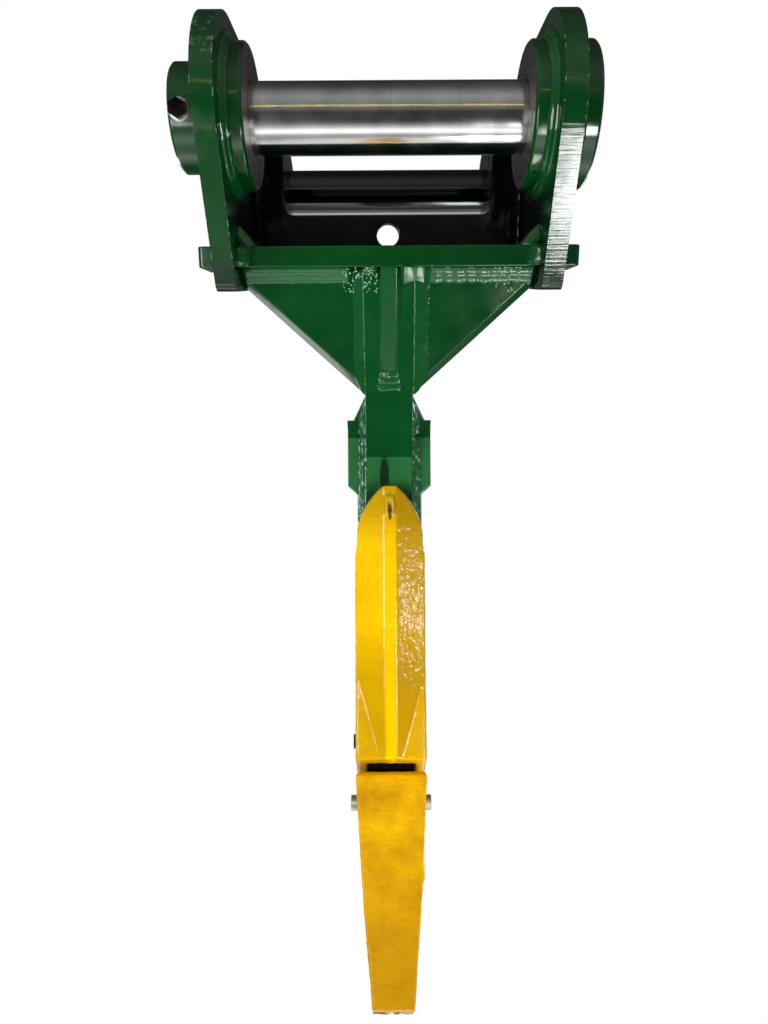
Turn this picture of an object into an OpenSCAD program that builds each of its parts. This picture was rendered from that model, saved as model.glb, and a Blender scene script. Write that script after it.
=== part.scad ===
// Single-shank excavator ripper: a pin-on headstock, a welded shank, a wear protector and a tooth.
// The origin is the middle of the dipper pin. X runs along the pins, Y to the back and Z up.
// Headstock sizes are taken along the pin line (u, to the back) and square to it (v, up).

/* [Pins] */
// Diameter of the dipper pin and the link pin
pin_d = 80; // [60:1:90]
// Distance between the two pin centres
pin_centres = 452; // [430:1:500]
// Rise of the pin line towards the back, in degrees
pin_line_rise = 13.5; // [9:0.5:16]
// Free width between the dipper bosses
dipper_gap = 324; // [280:1:360]
// Diametral clearance of each pin in its bores
pin_fit = 0.4; // [0.2:0.1:0.8]
// Length of a pin beyond the collar or boss that it ends in
pin_proud = 2; // [0.5:0.5:6]
// Edge break on the pin ends
pin_chamfer = 3; // [1:0.5:5]

/* [Ears] */
// Thickness of each ear
ear_t = 25; // [20:1:32]
// Radius of the ear around the dipper pin
ear_front_r = 109; // [104:1:118]
// Radius of the ear around the link pin
ear_rear_r = 95; // [94:1:110]
// Depth of the ear's toe below the base plate
toe_lip = 30; // [20:1:40]
// Lead of the toe's rounding centre in front of the base plate
toe_lead = 16; // [10:1:24]
// Radius of the toe
toe_r = 14; // [8:1:18]
// Depth of the ear's heel below the base plate
heel_lip = 2; // [1:0.5:8]
// Distance of the heel's rounding centre behind the base plate
heel_lead = 18; // [12:1:24]
// Radius of the heel
heel_r = 20; // [12:1:26]

/* [Bosses] */
// Outside diameter of the bosses
boss_d = 160; // [140:1:164]
// Thickness of the inner bosses at the dipper pin
boss_t = 24; // [16:1:30]
// Thickness of the inner bosses at the link pin
link_boss_t = 11; // [8:1:14]
// Thickness of the bosses outside the right ear
outer_boss_t = 26; // [14:1:34]
// Outside diameter of the retaining collars
collar_d = 120; // [110:1:140]
// Thickness of the retaining collars
collar_t = 39; // [34:1:46]
// Edge break on bosses and collars
boss_chamfer = 3; // [1:0.5:5]

/* [Pin bolts] */
// Diameter of the bolt through collar and pin
bolt_d = 14; // [10:1:16]
// Distance of the bolt from the collar's outer face
bolt_edge = 13.5; // [13.5:0.5:18]
// Slope of the bolt below the pin line, in degrees
bolt_tilt = 5; // [0:1:12]
// Clearance hole over the bolt
bolt_fit = 1; // [0.5:0.1:2]
// Hexagon of the bolt head and nut across its flats
bolt_flats = 19; // [17:0.5:20]
// Height of the bolt head
bolt_head_h = 9; // [6:0.5:12]
// Height of the nut
bolt_nut_h = 12; // [8:0.5:14]
// Thread left past the nut
bolt_spare = 6; // [2:1:10]
// Outside diameter of the washers
washer_d = 24; // [23.5:0.5:24.5]
// Thickness of the washers
washer_t = 2.5; // [1.5:0.5:4]
// Depth of the flat seat under each washer
seat_depth = 3; // [2:0.5:4]
// Clearance of the flat seat around a washer
seat_fit = 2; // [1:0.5:2.5]

/* [Base plate] */
// Drop of the plate's top below the pin line
plate_drop = 145; // [125:1:160]
// Thickness of the base plate
plate_t = 25; // [20:1:32]
// Place of the plate's front edge along the pin line
plate_front_u = -12; // [-24:1:0]
// Length of the plate along the pin line
plate_len = 312; // [300:1:330]
// Length of each tab along the pin line
tab_len = 70; // [50:1:90]
// Length of each tab outside its ear
tab_proud = 26; // [12:1:32]
// Cut corner of each tab
tab_chamfer = 4; // [2:0.5:8]
// Clearance around a tab in its slot
slot_fit = 0.5; // [0.2:0.1:1]

/* [Cross plate] */
// Distance from the base plate's front edge to the cross plate
cross_back = 162; // [130:1:180]
// Thickness of the cross plate
cross_t = 20; // [14:1:25]
// Height of the cross plate's web above the base plate
web_h = 61; // [54:1:80]
// Width of the upright at each ear
column_w = 38; // [26:1:48]
// Height of the uprights above the pin line
column_top = 60; // [30:1:80]
// Radius in the corners of the cut-out
column_r = 15; // [6:1:24]
// Sloped corner on top of each upright
column_slope = 20; // [8:1:24]
// Diameter of the hole in the web
web_hole_d = 32; // [20:1:36]
// Height of that hole above the base plate
web_hole_h = 34; // [30:1:38]

/* [Shank] */
// Thickness of the shank
shank_t = 65; // [55:1:75]
// Depth of the straight part, front to back
shank_depth = 180; // [165:1:200]
// Distance of the shank's front behind the dipper pin, under the base plate
shank_front_y = 39; // [32:1:46]
// Lean of the upper front face from upright, in degrees
shank_rake = 25; // [20:0.5:28]
// Depth of the knee in the front face, below the dipper pin
knee_depth = 396; // [370:1:420]
// Distance from the shank's top back corner to the base plate's back edge
shank_top_inset = 20; // [10:1:40]
// Depth of the bend in the back edge, below the dipper pin
back_bend_depth = 430; // [400:1:480]
// Cut corner at the shank's heel, along the back edge
heel_cut = 66; // [50:1:80]

/* [Gussets and rib] */
// Thickness of each gusset
gusset_t = 20; // [12:1:25]
// Set-back of the gussets from the shank's front face
gusset_setback = 9; // [6:0.5:14]
// Length of the gusset's upright edge on the ear
gusset_land = 26; // [22:1:32]
// Length of each gusset down the shank
gusset_len = 166; // [140:1:190]
// Blunt end of the gusset at the shank
gusset_tip = 4; // [2:0.5:8]
// Width of the bevel on the gusset's free edge, on its front face
gusset_bevel_w = 10; // [6:0.5:12]
// Depth of that bevel
gusset_bevel_d = 8; // [5:0.5:12]
// Thickness of the front rib
rib_t = 21; // [14:1:26]
// Height of the rib in front of the shank, at the base plate
rib_proud = 12; // [8:0.5:16]
// Length of the rib down the shank
rib_len = 134; // [110:1:150]

/* [Cheeks] */
// Thickness of the cheek's upper block
cheek_t = 27; // [20:0.5:32]
// Thickness of the cheek's tail
tail_t = 13.5; // [10:0.5:16]
// Set-back of the cheek's front edge from the shank's front
cheek_setback = 17; // [14:0.5:24]
// Length of the cheek from front to back
cheek_len = 130; // [100:1:145]
// Depth of the cheek's square top below the dipper pin
cheek_top_depth = 343; // [330:1:350]
// Height of the sloped top of the cheek
cheek_slope_h = 34; // [24:1:38]
// Flat land outside that slope
cheek_land = 9; // [5:0.5:12]
// Drop from there to the bend in the cheek's front edge
cheek_bend_drop = 21; // [12:1:30]
// Depth of the block's lower end
block_end_depth = 436; // [420:1:445]
// Height of the slope between the block and its tail
block_slope_h = 12; // [6:1:20]

/* [Shank protector] */
// Width of the protector
guard_w = 99; // [92:1:104]
// Depth of the protector's point below the dipper pin
guard_point_depth = 437; // [425:1:450]
// Height of the pointed arch at its top
guard_arch_h = 87; // [75:1:100]
// Width of the blunt end of the point
guard_blunt_w = 18; // [12:1:24]
// Depth of the notch in each shoulder, below the arch
guard_notch = 5; // [3:0.5:7]
// Height of that notch
guard_notch_h = 6; // [4:0.5:10]
// Height of the ridge in front of the shank
guard_ridge_h = 27; // [20:1:32]
// Width of the flat on the ridge
guard_ridge_w = 17; // [10:1:24]
// Lowest metal at the side edges, in front of the shank
guard_edge_h = 1.5; // [1:0.5:4]
// Lowest metal at the foot's corners, in front of the shank
guard_foot_h = 24; // [12:0.5:26]
// Length of the thick corners at the foot
guard_foot_len = 140; // [110:1:170]
// Length of the side walls behind the shank's front
guard_wall_len = 88; // [70:1:110]
// Clearance between the protector and what it fits over
guard_fit = 0.5; // [0.3:0.1:1]
// Gap between the protector's foot and the tooth
guard_gap = 9; // [6:0.5:14]
// Width of the eye on the point
eye_w = 13; // [9:0.5:16]
// Length of the eye
eye_len = 27; // [20:1:34]
// Height of the eye over the ridge
eye_h = 5; // [3:0.5:8]
// Width of the slot in the eye
eye_slot_w = 5; // [3:0.5:6]
// Length of the slot in the eye
eye_slot_len = 16; // [10:1:18]
// Diameter of the pin through the protector
guard_pin_d = 21; // [16:1:26]
// Distance of that pin behind the shank's front
guard_pin_back = 47; // [40:1:56]
// Height of that pin above the tooth's top edge
guard_pin_up = 23; // [18:1:45]
// Length of its head outside the protector
guard_pin_head = 5; // [3:0.5:8]

/* [Tooth] */
// Depth of the tooth's top edge below the dipper pin
tooth_top_depth = 835; // [825:1:850]
// Height of the tooth's front face in front of the shank
tooth_proud = 8; // [5:0.5:12]
// Lean of the tooth's front face from upright, in degrees
tooth_lean = 33.5; // [28:0.5:38]
// Length of the front face
tooth_len = 275; // [250:1:300]
// Height of the socket end
tooth_box_h = 170; // [160:1:180]
// Thickness of the cutting edge
tip_t = 22; // [14:1:30]
// Fall of the cutting edge from its front to its back
tip_slant = 5.5; // [2:0.5:9]
// Width of the socket end
tooth_w = 100; // [92:1:106]
// Width at the waist
waist_w = 76; // [70:1:88]
// Distance of the waist from the socket end
waist_len = 160; // [140:1:180]
// Width of the cutting edge
tip_w = 51; // [40:1:60]
// Length of the shank's nose inside the tooth
nose_len = 150; // [130:1:165]
// Step from the shank's sides to the nose's root
nose_step = 2; // [1:0.5:4]
// Width of the nose at its end
nose_tip_w = 40; // [32:1:46]
// Height of the nose at its end
nose_tip_h = 38; // [28:1:44]
// Thickness of the tooth's front wall
socket_wall = 21; // [18:0.5:26]
// Clearance between nose and socket
nose_fit = 1; // [0.5:0.1:2]
// Gap between the tooth and the shank's shoulder
shoulder_gap = 2; // [1:0.5:4]
// Edge break around the tooth's socket end
tooth_chamfer = 6; // [3:0.5:9]
// Diameter of the tooth pin
tooth_pin_d = 22; // [16:1:26]
// Distance of the tooth pin from the socket end
tooth_pin_s = 25; // [22:1:34]
// Distance of the tooth pin from the front face
tooth_pin_w = 88; // [76:1:96]
// Length of the tooth pin outside each side
tooth_pin_head = 9; // [6:0.5:14]

/* [Keepers] */
// Thickness of the keeper ring on each small pin
keeper_t = 7; // [5:0.5:9]
// Wall of the keeper ring
keeper_wall = 6; // [4:0.5:8]
// Clearance around a keeper and a small pin
keeper_fit = 0.4; // [0.2:0.1:0.8]

/* [Welds] */
// Leg of the welds around bosses and collars
boss_weld = 10; // [6:0.5:12]
// Leg of the welds on the plates
plate_weld = 12; // [8:0.5:14]
// Leg of the welds on gussets and rib
gusset_weld = 12; // [8:0.5:14]
// Leg of the gussets' welds along the shank, on the gusset
shank_seam = 16; // [10:0.5:18]
// Leg of the welds along the rib
rib_weld = 4; // [3:0.5:7]
// Leg of the welds on the tabs
tab_weld = 8; // [5:0.5:12]
// Leg of the welds on the cheeks
cheek_weld = 13; // [9:0.5:16]

/* [Hidden] */
$fn = 96;

green = "#0b5a2a";
yellow = "#f0bd00";
bare_steel = "#9a9a98";
plated_steel = "#55585c";

// Past the faces of a solid, so that a cut goes right through
over = 1;

// Headstock places across the width
ear_in = dipper_gap / 2 + boss_t;
ear_out = ear_in + ear_t;
collar_out = ear_out + collar_t;
outer_boss_out = ear_out + outer_boss_t;
pin_bore = pin_d + pin_fit;
bolt_x = bolt_edge - collar_out;
bolt_seat = collar_d / 2 - seat_depth;
bolt_end = bolt_seat + washer_t + bolt_nut_h + bolt_spare;

// Base plate and what stands on it, in u and v
plate_top_v = -plate_drop;
plate_low_v = -(plate_drop + plate_t);
plate_back_u = plate_front_u + plate_len;
tab_starts = [plate_front_u, plate_back_u - tab_len];
cross_u = plate_front_u + cross_back;
web_top_v = plate_top_v + web_h;
ear_chain = [
    [0, 0, ear_front_r],
    [plate_front_u - toe_lead, plate_low_v - toe_lip + toe_r, toe_r],
    [plate_back_u + heel_lead, plate_low_v - heel_lip + heel_r, heel_r],
    [pin_centres, 0, ear_rear_r]
];

// Shank line, in Y and Z
half_t = shank_t / 2;
function under_z(y) = (plate_low_v + y * sin(pin_line_rise)) / cos(pin_line_rise);
shank_top_z = under_z(shank_front_y);
knee_z = -knee_depth;
knee_y = shank_front_y + (shank_top_z - knee_z) * tan(shank_rake);
back_y = knee_y + shank_depth;
plate_back_y = plate_back_u * cos(pin_line_rise) - plate_low_v * sin(pin_line_rise);
top_back_y = plate_back_y - shank_top_inset;

// Tooth line: s runs down the front face from the socket end, w back from that face
tooth_y = knee_y - tooth_proud;
tooth_z = -tooth_top_depth;
function tooth_pt(s, w) = [
    tooth_y - s * sin(tooth_lean) + w * cos(tooth_lean),
    tooth_z - s * cos(tooth_lean) - w * sin(tooth_lean)
];
nose_front_w = socket_wall + nose_fit;
nose_back_w = tooth_box_h - socket_wall + nose_fit;
front_shoulder_w = (tooth_proud - shoulder_gap * sin(tooth_lean)) / cos(tooth_lean);
tooth_pin_yz = tooth_pt(tooth_pin_s, tooth_pin_w);

// Protector line, in Z
guard_point_z = -guard_point_depth;
guard_arch_z = guard_point_z - guard_arch_h;
guard_low_z = tooth_z - tooth_box_h;
guard_wall_z = guard_arch_z - guard_fit;
guard_pin_y = knee_y + guard_pin_back;
guard_pin_z = tooth_z + guard_pin_up;
cheek_y = knee_y + cheek_setback;
cheek_top_z = -cheek_top_depth;
cheek_bend_z = cheek_top_z - cheek_bend_drop;

// Joins circles [x, y, r] that are listed anticlockwise by their outer tangents
function unit(a) = [cos(a), sin(a)];
function tangent_angle(a, b) =
    let(d = [b[0] - a[0], b[1] - a[1]])
    atan2(d[1], d[0]) - 90 + asin((a[2] - b[2]) / norm(d));
function tangent_point(c, a) = [c[0], c[1]] + c[2] * unit(a);
module rounded_chain(chain) {
    count = len(chain);
    angles = [for (i = [0:count - 1]) tangent_angle(chain[i], chain[(i + 1) % count])];
    polygon([for (i = [0:count - 1]) each [
        tangent_point(chain[i], angles[(i + count - 1) % count]),
        tangent_point(chain[i], angles[i])
    ]]);
    for (c = chain)
        translate([c[0], c[1]])
            circle(r = c[2]);
}

// Places a part that is drawn along the pin line
module headstock() {
    rotate([pin_line_rise, 0, 0])
        children();
}

// Extrudes an outline, drawn in depth and height, across the width from x
module across(x, t) {
    translate([x, 0, 0])
        rotate([90, 0, 90])
            linear_extrude(t)
                children();
}

// Extrudes an outline, drawn in width and height, to the back from y
module backward(y, t) {
    translate([0, y + t, 0])
        rotate([90, 0, 0])
            linear_extrude(t)
                children();
}

// Frame of the leaning front face: its origin is the middle of the face under the base plate
module raked() {
    translate([0, shank_front_y, shank_top_z])
        rotate([shank_rake, 0, 0])
            children();
}

// All of the space under the base plate
module under_plate(reach = 1000) {
    headstock()
        translate([-reach, -reach, plate_low_v - reach])
            cube([2 * reach, 2 * reach, reach]);
}

// A bar along X, at depth and height [y, z]
module cross_bar(at, d, x0, x1) {
    translate([x0, at[0], at[1]])
        rotate([0, 90, 0])
            cylinder(d = d, h = x1 - x0);
}

// A turned ring on the pin line: bore, outside diameter and an edge break on its free face
module ring(x, t, od, chamfer, free_side) {
    profile = [
        [pin_bore / 2, 0],
        [od / 2, 0],
        [od / 2, t - chamfer],
        [od / 2 - chamfer, t],
        [pin_bore / 2, t]
    ];
    translate([x, 0, 0])
        rotate([0, 90 * free_side, 0])
            rotate_extrude()
                polygon(profile);
}

module at_link_pin() {
    translate([0, pin_centres, 0])
        children();
}

module ear(x) {
    color(green)
        headstock()
            across(x, ear_t)
                difference() {
                    rounded_chain(ear_chain);
                    circle(d = pin_bore);
                    translate([pin_centres, 0])
                        circle(d = pin_bore);
                    for (u = tab_starts)
                        translate([u - slot_fit, plate_low_v - slot_fit])
                            square([tab_len + 2 * slot_fit, plate_t + 2 * slot_fit]);
                }
}

module left_ear() { ear(-ear_out); }
module right_ear() { ear(ear_in); }

module inner_boss(side, t) {
    color(green)
        ring(side * ear_in, t, boss_d, boss_chamfer, -side);
}

module left_dipper_boss() { headstock() inner_boss(-1, boss_t); }
module right_dipper_boss() { headstock() inner_boss(1, boss_t); }
module left_link_boss() { headstock() at_link_pin() inner_boss(-1, link_boss_t); }
module right_link_boss() { headstock() at_link_pin() inner_boss(1, link_boss_t); }

module outer_boss() {
    color(green)
        ring(ear_out, outer_boss_t, boss_d, boss_chamfer, 1);
}

module dipper_outer_boss() { headstock() outer_boss(); }
module link_outer_boss() { headstock() at_link_pin() outer_boss(); }

// Frame of a retaining bolt: its own X runs from the nut to the head
module bolt_line() {
    translate([bolt_x, 0, 0])
        rotate([bolt_tilt, 0, 0])
            rotate([0, 0, -90])
                children();
}

module bolt_hole() {
    bolt_line()
        cross_bar([0, 0], bolt_d + bolt_fit, -collar_d, collar_d);
}

// The flat seats that are cut for the bolt's head and nut
module bolt_seats() {
    bolt_line()
        for (x = [-collar_d, bolt_seat])
            cross_bar([0, 0], washer_d + seat_fit, x, x + collar_d - bolt_seat);
}

module retaining_collar() {
    color(green)
        difference() {
            ring(-ear_out, collar_t, collar_d, boss_chamfer, -1);
            bolt_hole();
            bolt_seats();
        }
}

module dipper_collar() { headstock() retaining_collar(); }
module link_collar() { headstock() at_link_pin() retaining_collar(); }

module pin() {
    length = collar_out + outer_boss_out + 2 * pin_proud;
    profile = [
        [0, 0],
        [pin_d / 2 - pin_chamfer, 0],
        [pin_d / 2, pin_chamfer],
        [pin_d / 2, length - pin_chamfer],
        [pin_d / 2 - pin_chamfer, length],
        [0, length]
    ];
    color(bare_steel)
        difference() {
            translate([-collar_out - pin_proud, 0, 0])
                rotate([0, 90, 0])
                    rotate_extrude()
                        polygon(profile);
            bolt_hole();
        }
}

module dipper_pin() { headstock() pin(); }
module link_pin() { headstock() at_link_pin() pin(); }

module hexagon_bar(x, h) {
    translate([x, 0, 0])
        rotate([0, 90, 0])
            cylinder(d = bolt_flats / cos(30), h = h, $fn = 6);
}

module pin_bolt() {
    color(plated_steel)
        bolt_line() {
            cross_bar([0, 0], bolt_d, -bolt_end, bolt_seat + washer_t);
            hexagon_bar(bolt_seat + washer_t, bolt_head_h);
        }
}

module dipper_pin_bolt() { headstock() pin_bolt(); }
module link_pin_bolt() { headstock() at_link_pin() pin_bolt(); }

module washer_pair() {
    bolt_line()
        for (x = [-bolt_seat - washer_t, bolt_seat])
            difference() {
                cross_bar([0, 0], washer_d, x, x + washer_t);
                cross_bar([0, 0], bolt_d + bolt_fit, x - over, x + washer_t + over);
            }
}

module pin_washers() {
    color(bare_steel)
        headstock() {
            washer_pair();
            at_link_pin()
                washer_pair();
        }
}

module pin_nut() {
    inner_end = -bolt_seat - washer_t;
    bolt_line()
        difference() {
            hexagon_bar(inner_end - bolt_nut_h, bolt_nut_h);
            cross_bar([0, 0], bolt_d, inner_end - bolt_nut_h - over, inner_end + over);
        }
}

module pin_nuts() {
    color(plated_steel)
        headstock() {
            pin_nut();
            at_link_pin()
                pin_nut();
        }
}

// The right edge of the base plate in plan, from front to back, with its two tabs
function plate_edge() =
    let(
        tip = ear_out + tab_proud,
        cut = tip - tab_chamfer,
        front_end = plate_front_u + tab_len,
        back_start = plate_back_u - tab_len
    )
    [
        [cut, plate_front_u],
        [tip, plate_front_u + tab_chamfer],
        [tip, front_end - tab_chamfer],
        [cut, front_end],
        [ear_in, front_end],
        [ear_in, back_start],
        [cut, back_start],
        [tip, back_start + tab_chamfer],
        [tip, plate_back_u - tab_chamfer],
        [cut, plate_back_u]
    ];

module base_plate() {
    right = plate_edge();
    left = [for (i = [len(right) - 1:-1:0]) [-right[i][0], right[i][1]]];
    color(green)
        headstock()
            translate([0, 0, plate_low_v])
                linear_extrude(plate_t)
                    polygon(concat(right, left));
}

module cross_plate() {
    column_in = ear_in - column_w;
    cut_h = column_top - web_top_v + over;
    color(green)
        headstock()
            backward(cross_u, cross_t)
                difference() {
                    translate([-ear_in, plate_top_v])
                        square([2 * ear_in, column_top - plate_top_v]);
                    translate([-column_in, web_top_v + column_r])
                        square([2 * column_in, cut_h]);
                    translate([column_r - column_in, web_top_v])
                        square([2 * (column_in - column_r), cut_h]);
                    for (side = [-1, 1]) {
                        translate([side * (column_in - column_r), web_top_v + column_r])
                            circle(r = column_r);
                        polygon([
                            [side * column_in, column_top - column_slope],
                            [side * (column_in + column_slope), column_top],
                            [side * (column_in + column_slope), column_top + over],
                            [side * (column_in - over), column_top + over],
                            [side * (column_in - over), column_top - column_slope]
                        ]);
                    }
                    translate([0, plate_top_v + web_hole_h])
                        circle(d = web_hole_d);
                }
}

// The bevel along the right gusset's free edge, in the leaning frame, cut from a reach in front of the
// gusset to a distance outside its edge
module gusset_bevel(reach, outside) {
    start = [ear_in, -gusset_land];
    run = [half_t + gusset_tip, -gusset_len] - start;
    steep = gusset_bevel_w / gusset_bevel_d;
    translate([start[0], gusset_setback, start[1]])
        rotate([0, -atan2(run[1], run[0]), 0])
            across(-gusset_t, norm(run) + 2 * gusset_t)
                polygon([
                    [-reach, -gusset_bevel_w - reach * steep],
                    [gusset_bevel_d + outside / steep, outside],
                    [-reach, outside]
                ]);
}

// The right gusset lies behind the leaning front face, between the shank's side and the ear
module gusset() {
    color(green)
        intersection() {
            under_plate();
            raked()
                difference() {
                    backward(gusset_setback, gusset_t)
                        polygon([
                            [half_t, gusset_t],
                            [ear_in, gusset_t],
                            [ear_in, -gusset_land],
                            [half_t + gusset_tip, -gusset_len],
                            [half_t, -gusset_len]
                        ]);
                    gusset_bevel(over, over);
                }
        }
}

module left_gusset() { mirror([1, 0, 0]) gusset(); }
module right_gusset() { gusset(); }

module front_rib() {
    color(green)
        intersection() {
            under_plate();
            raked()
                across(-rib_t / 2, rib_t)
                    polygon([[-rib_proud, rib_proud], [0, rib_proud], [0, -rib_len], [-rib_proud, 0]]);
        }
}

// The shank's nose, in the tooth's own line, grown by a clearance
module nose(fit = 0) {
    root = -shoulder_gap - over;
    back_slope = (nose_back_w - nose_front_w - nose_tip_h) / nose_len;
    half_root = half_t - nose_step + fit;
    side_slope = (half_t - nose_step - nose_tip_w / 2) / nose_len;
    end = nose_len + fit;
    translate([0, tooth_y, tooth_z])
        rotate([-tooth_lean, 0, 0])
            intersection() {
                across(-half_root - over, 2 * (half_root + over))
                    polygon([
                        [nose_front_w - fit, -root],
                        [nose_front_w - fit, -end],
                        [nose_back_w + fit - back_slope * end, -end],
                        [nose_back_w + fit - back_slope * root, -root]
                    ]);
                backward(-over, tooth_box_h + 2 * over)
                    polygon([
                        [-half_root, -root],
                        [-half_root, 0],
                        [side_slope * end - half_root, -end],
                        [half_root - side_slope * end, -end],
                        [half_root, 0],
                        [half_root, -root]
                    ]);
            }
}

module shank_outline() {
    polygon([
        [shank_front_y, shank_top_z],
        [knee_y, knee_z],
        tooth_pt(-shoulder_gap, front_shoulder_w),
        tooth_pt(-shoulder_gap, tooth_box_h),
        [back_y, tooth_pt(-shoulder_gap, tooth_box_h)[1] + heel_cut],
        [back_y, -back_bend_depth],
        [top_back_y, under_z(top_back_y)]
    ]);
}

module shank() {
    color(green)
        difference() {
            union() {
                across(-half_t, shank_t)
                    shank_outline();
                nose();
            }
            cross_bar([guard_pin_y, guard_pin_z], guard_pin_d + keeper_fit, -shank_t, shank_t);
            cross_bar(tooth_pin_yz, tooth_pin_d + keeper_fit, -shank_t, shank_t);
        }
}

module cheek(side) {
    block = half_t + cheek_t;
    tail = half_t + tail_t;
    block_z = -block_end_depth;
    tail_z = block_z - block_slope_h;
    high_z = cheek_top_z + cheek_slope_h;
    lean = (high_z - cheek_bend_z) * tan(shank_rake);
    color(green)
        intersection() {
            backward(cheek_y - lean, cheek_len + lean)
                polygon([
                    [side * half_t, high_z],
                    [side * (block - cheek_land), cheek_top_z],
                    [side * block, cheek_top_z],
                    [side * block, block_z],
                    [side * tail, tail_z],
                    [side * tail, guard_arch_z],
                    [side * half_t, guard_arch_z]
                ]);
            across(-block - over, 2 * (block + over))
                polygon([
                    [cheek_y - lean, high_z],
                    [cheek_y, cheek_bend_z],
                    [cheek_y, guard_arch_z],
                    [cheek_y + cheek_len, guard_arch_z],
                    [cheek_y + cheek_len, high_z]
                ]);
        }
}

module left_cheek() { cheek(-1); }
module right_cheek() { cheek(1); }

// The pointed arch and straight sides of the protector, seen from the front
module guard_front() {
    half = guard_w / 2;
    inset = half - guard_blunt_w / 2;
    arch_r = (guard_arch_h * guard_arch_h + inset * inset) / (2 * inset);
    intersection() {
        translate([half - arch_r, guard_arch_z])
            circle(r = arch_r);
        translate([arch_r - half, guard_arch_z])
            circle(r = arch_r);
        translate([-half, guard_arch_z])
            square([guard_w, guard_arch_h]);
    }
    polygon([
        [-half, guard_low_z],
        [half, guard_low_z],
        [half, guard_arch_z - guard_notch_h],
        [half - guard_notch, guard_arch_z - guard_notch_h],
        [half, guard_arch_z],
        [-half, guard_arch_z],
        [guard_notch - half, guard_arch_z - guard_notch_h],
        [-half, guard_arch_z - guard_notch_h]
    ]);
}

// The protector's section: a flat ridge, two sloped faces and a back at the end of the side walls
module guard_section() {
    half = guard_w / 2;
    ridge = guard_ridge_w / 2;
    back = knee_y + guard_wall_len;
    polygon([
        [-ridge, knee_y - guard_ridge_h],
        [ridge, knee_y - guard_ridge_h],
        [half, knee_y - guard_edge_h],
        [half, back],
        [-half, back],
        [-half, knee_y - guard_edge_h]
    ]);
}

// A thick corner at the foot: a flat triangle from the ridge's lower end up to the side edge
module guard_foot(side) {
    half = guard_w / 2;
    ridge = guard_ridge_w / 2;
    foot_z = tooth_z;
    seat_y = knee_y - guard_fit;
    polyhedron(
        points = [
            [side * half, knee_y - guard_edge_h, foot_z + guard_foot_len],
            [side * ridge, knee_y - guard_ridge_h, foot_z],
            [side * half, knee_y - guard_foot_h, foot_z],
            [side * half, seat_y, foot_z],
            [side * ridge, seat_y, foot_z]
        ],
        faces = side > 0
            ? [[0, 2, 1], [0, 3, 2], [0, 4, 3], [0, 1, 4], [1, 2, 3, 4]]
            : [[1, 2, 0], [2, 3, 0], [3, 4, 0], [4, 1, 0], [4, 3, 2, 1]]
    );
}

// All of the space above the protector's foot, which runs along the tooth's socket end
module above_foot(reach = 1000) {
    translate([0, tooth_y, tooth_z])
        rotate([-tooth_lean, 0, 0])
            translate([-reach, -reach, guard_gap])
                cube([2 * reach, 2 * reach, reach]);
}

module oval(w, l) {
    square([w, l - w], center = true);
    for (side = [-1, 1])
        translate([0, side * (l - w) / 2])
            circle(d = w);
}

module shank_protector() {
    ridge_y = knee_y - guard_ridge_h;
    eye_z = guard_point_z - eye_len;
    slot_half = half_t + guard_fit;
    color(yellow)
        difference() {
            union() {
                intersection() {
                    backward(ridge_y - over, guard_ridge_h + guard_wall_len + 2 * over)
                        guard_front();
                    translate([0, 0, guard_low_z])
                        linear_extrude(guard_point_z - guard_low_z)
                            guard_section();
                    above_foot();
                }
                for (side = [-1, 1])
                    intersection() {
                        guard_foot(side);
                        above_foot();
                    }
                translate([0, 0, eye_z])
                    backward(ridge_y - eye_h, eye_h + over)
                        oval(eye_w, eye_len);
            }
            translate([0, 0, eye_z])
                backward(ridge_y - eye_h - over, eye_h)
                    oval(eye_slot_w, eye_slot_len);
            translate([-slot_half, knee_y - guard_fit, guard_low_z - over])
                cube([2 * slot_half, guard_wall_len + 2 * over, guard_point_z - guard_low_z + 2 * over]);
            translate([-guard_w, knee_y - guard_fit, guard_wall_z])
                cube([2 * guard_w, guard_wall_len + 2 * over, guard_arch_h + 2 * over]);
            cross_bar([guard_pin_y, guard_pin_z], guard_pin_d + keeper_fit, -guard_w, guard_w);
            cross_bar([guard_pin_y, guard_pin_z], guard_pin_d + 2 * keeper_wall + keeper_fit, 0,
                slot_half + keeper_t + keeper_fit);
        }
}

module protector_pin() {
    color(plated_steel)
        cross_bar([guard_pin_y, guard_pin_z], guard_pin_d, -guard_w / 2 - guard_pin_head, guard_w / 2 - over);
}

module keeper(at, d) {
    x = half_t + guard_fit;
    color(plated_steel)
        difference() {
            cross_bar(at, d + 2 * keeper_wall, x, x + keeper_t);
            cross_bar(at, d + keeper_fit, x - over, x + keeper_t + over);
        }
}

module protector_pin_keeper() { keeper([guard_pin_y, guard_pin_z], guard_pin_d); }

module tooth_side() {
    polygon([
        [tooth_chamfer, 0],
        [0, -tooth_chamfer],
        [0, -tooth_len],
        [tip_t, -tooth_len - tip_slant],
        [tooth_box_h, -tooth_chamfer],
        [tooth_box_h - tooth_chamfer, 0]
    ]);
}

module tooth_plan() {
    half = tooth_w / 2;
    end = tooth_len + tip_slant + over;
    polygon([
        [-half + tooth_chamfer / 2, 0],
        [-half, -tooth_chamfer],
        [-waist_w / 2, -waist_len],
        [-tip_w / 2, -tooth_len],
        [-tip_w / 2, -end],
        [tip_w / 2, -end],
        [tip_w / 2, -tooth_len],
        [waist_w / 2, -waist_len],
        [half, -tooth_chamfer],
        [half - tooth_chamfer / 2, 0]
    ]);
}

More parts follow.
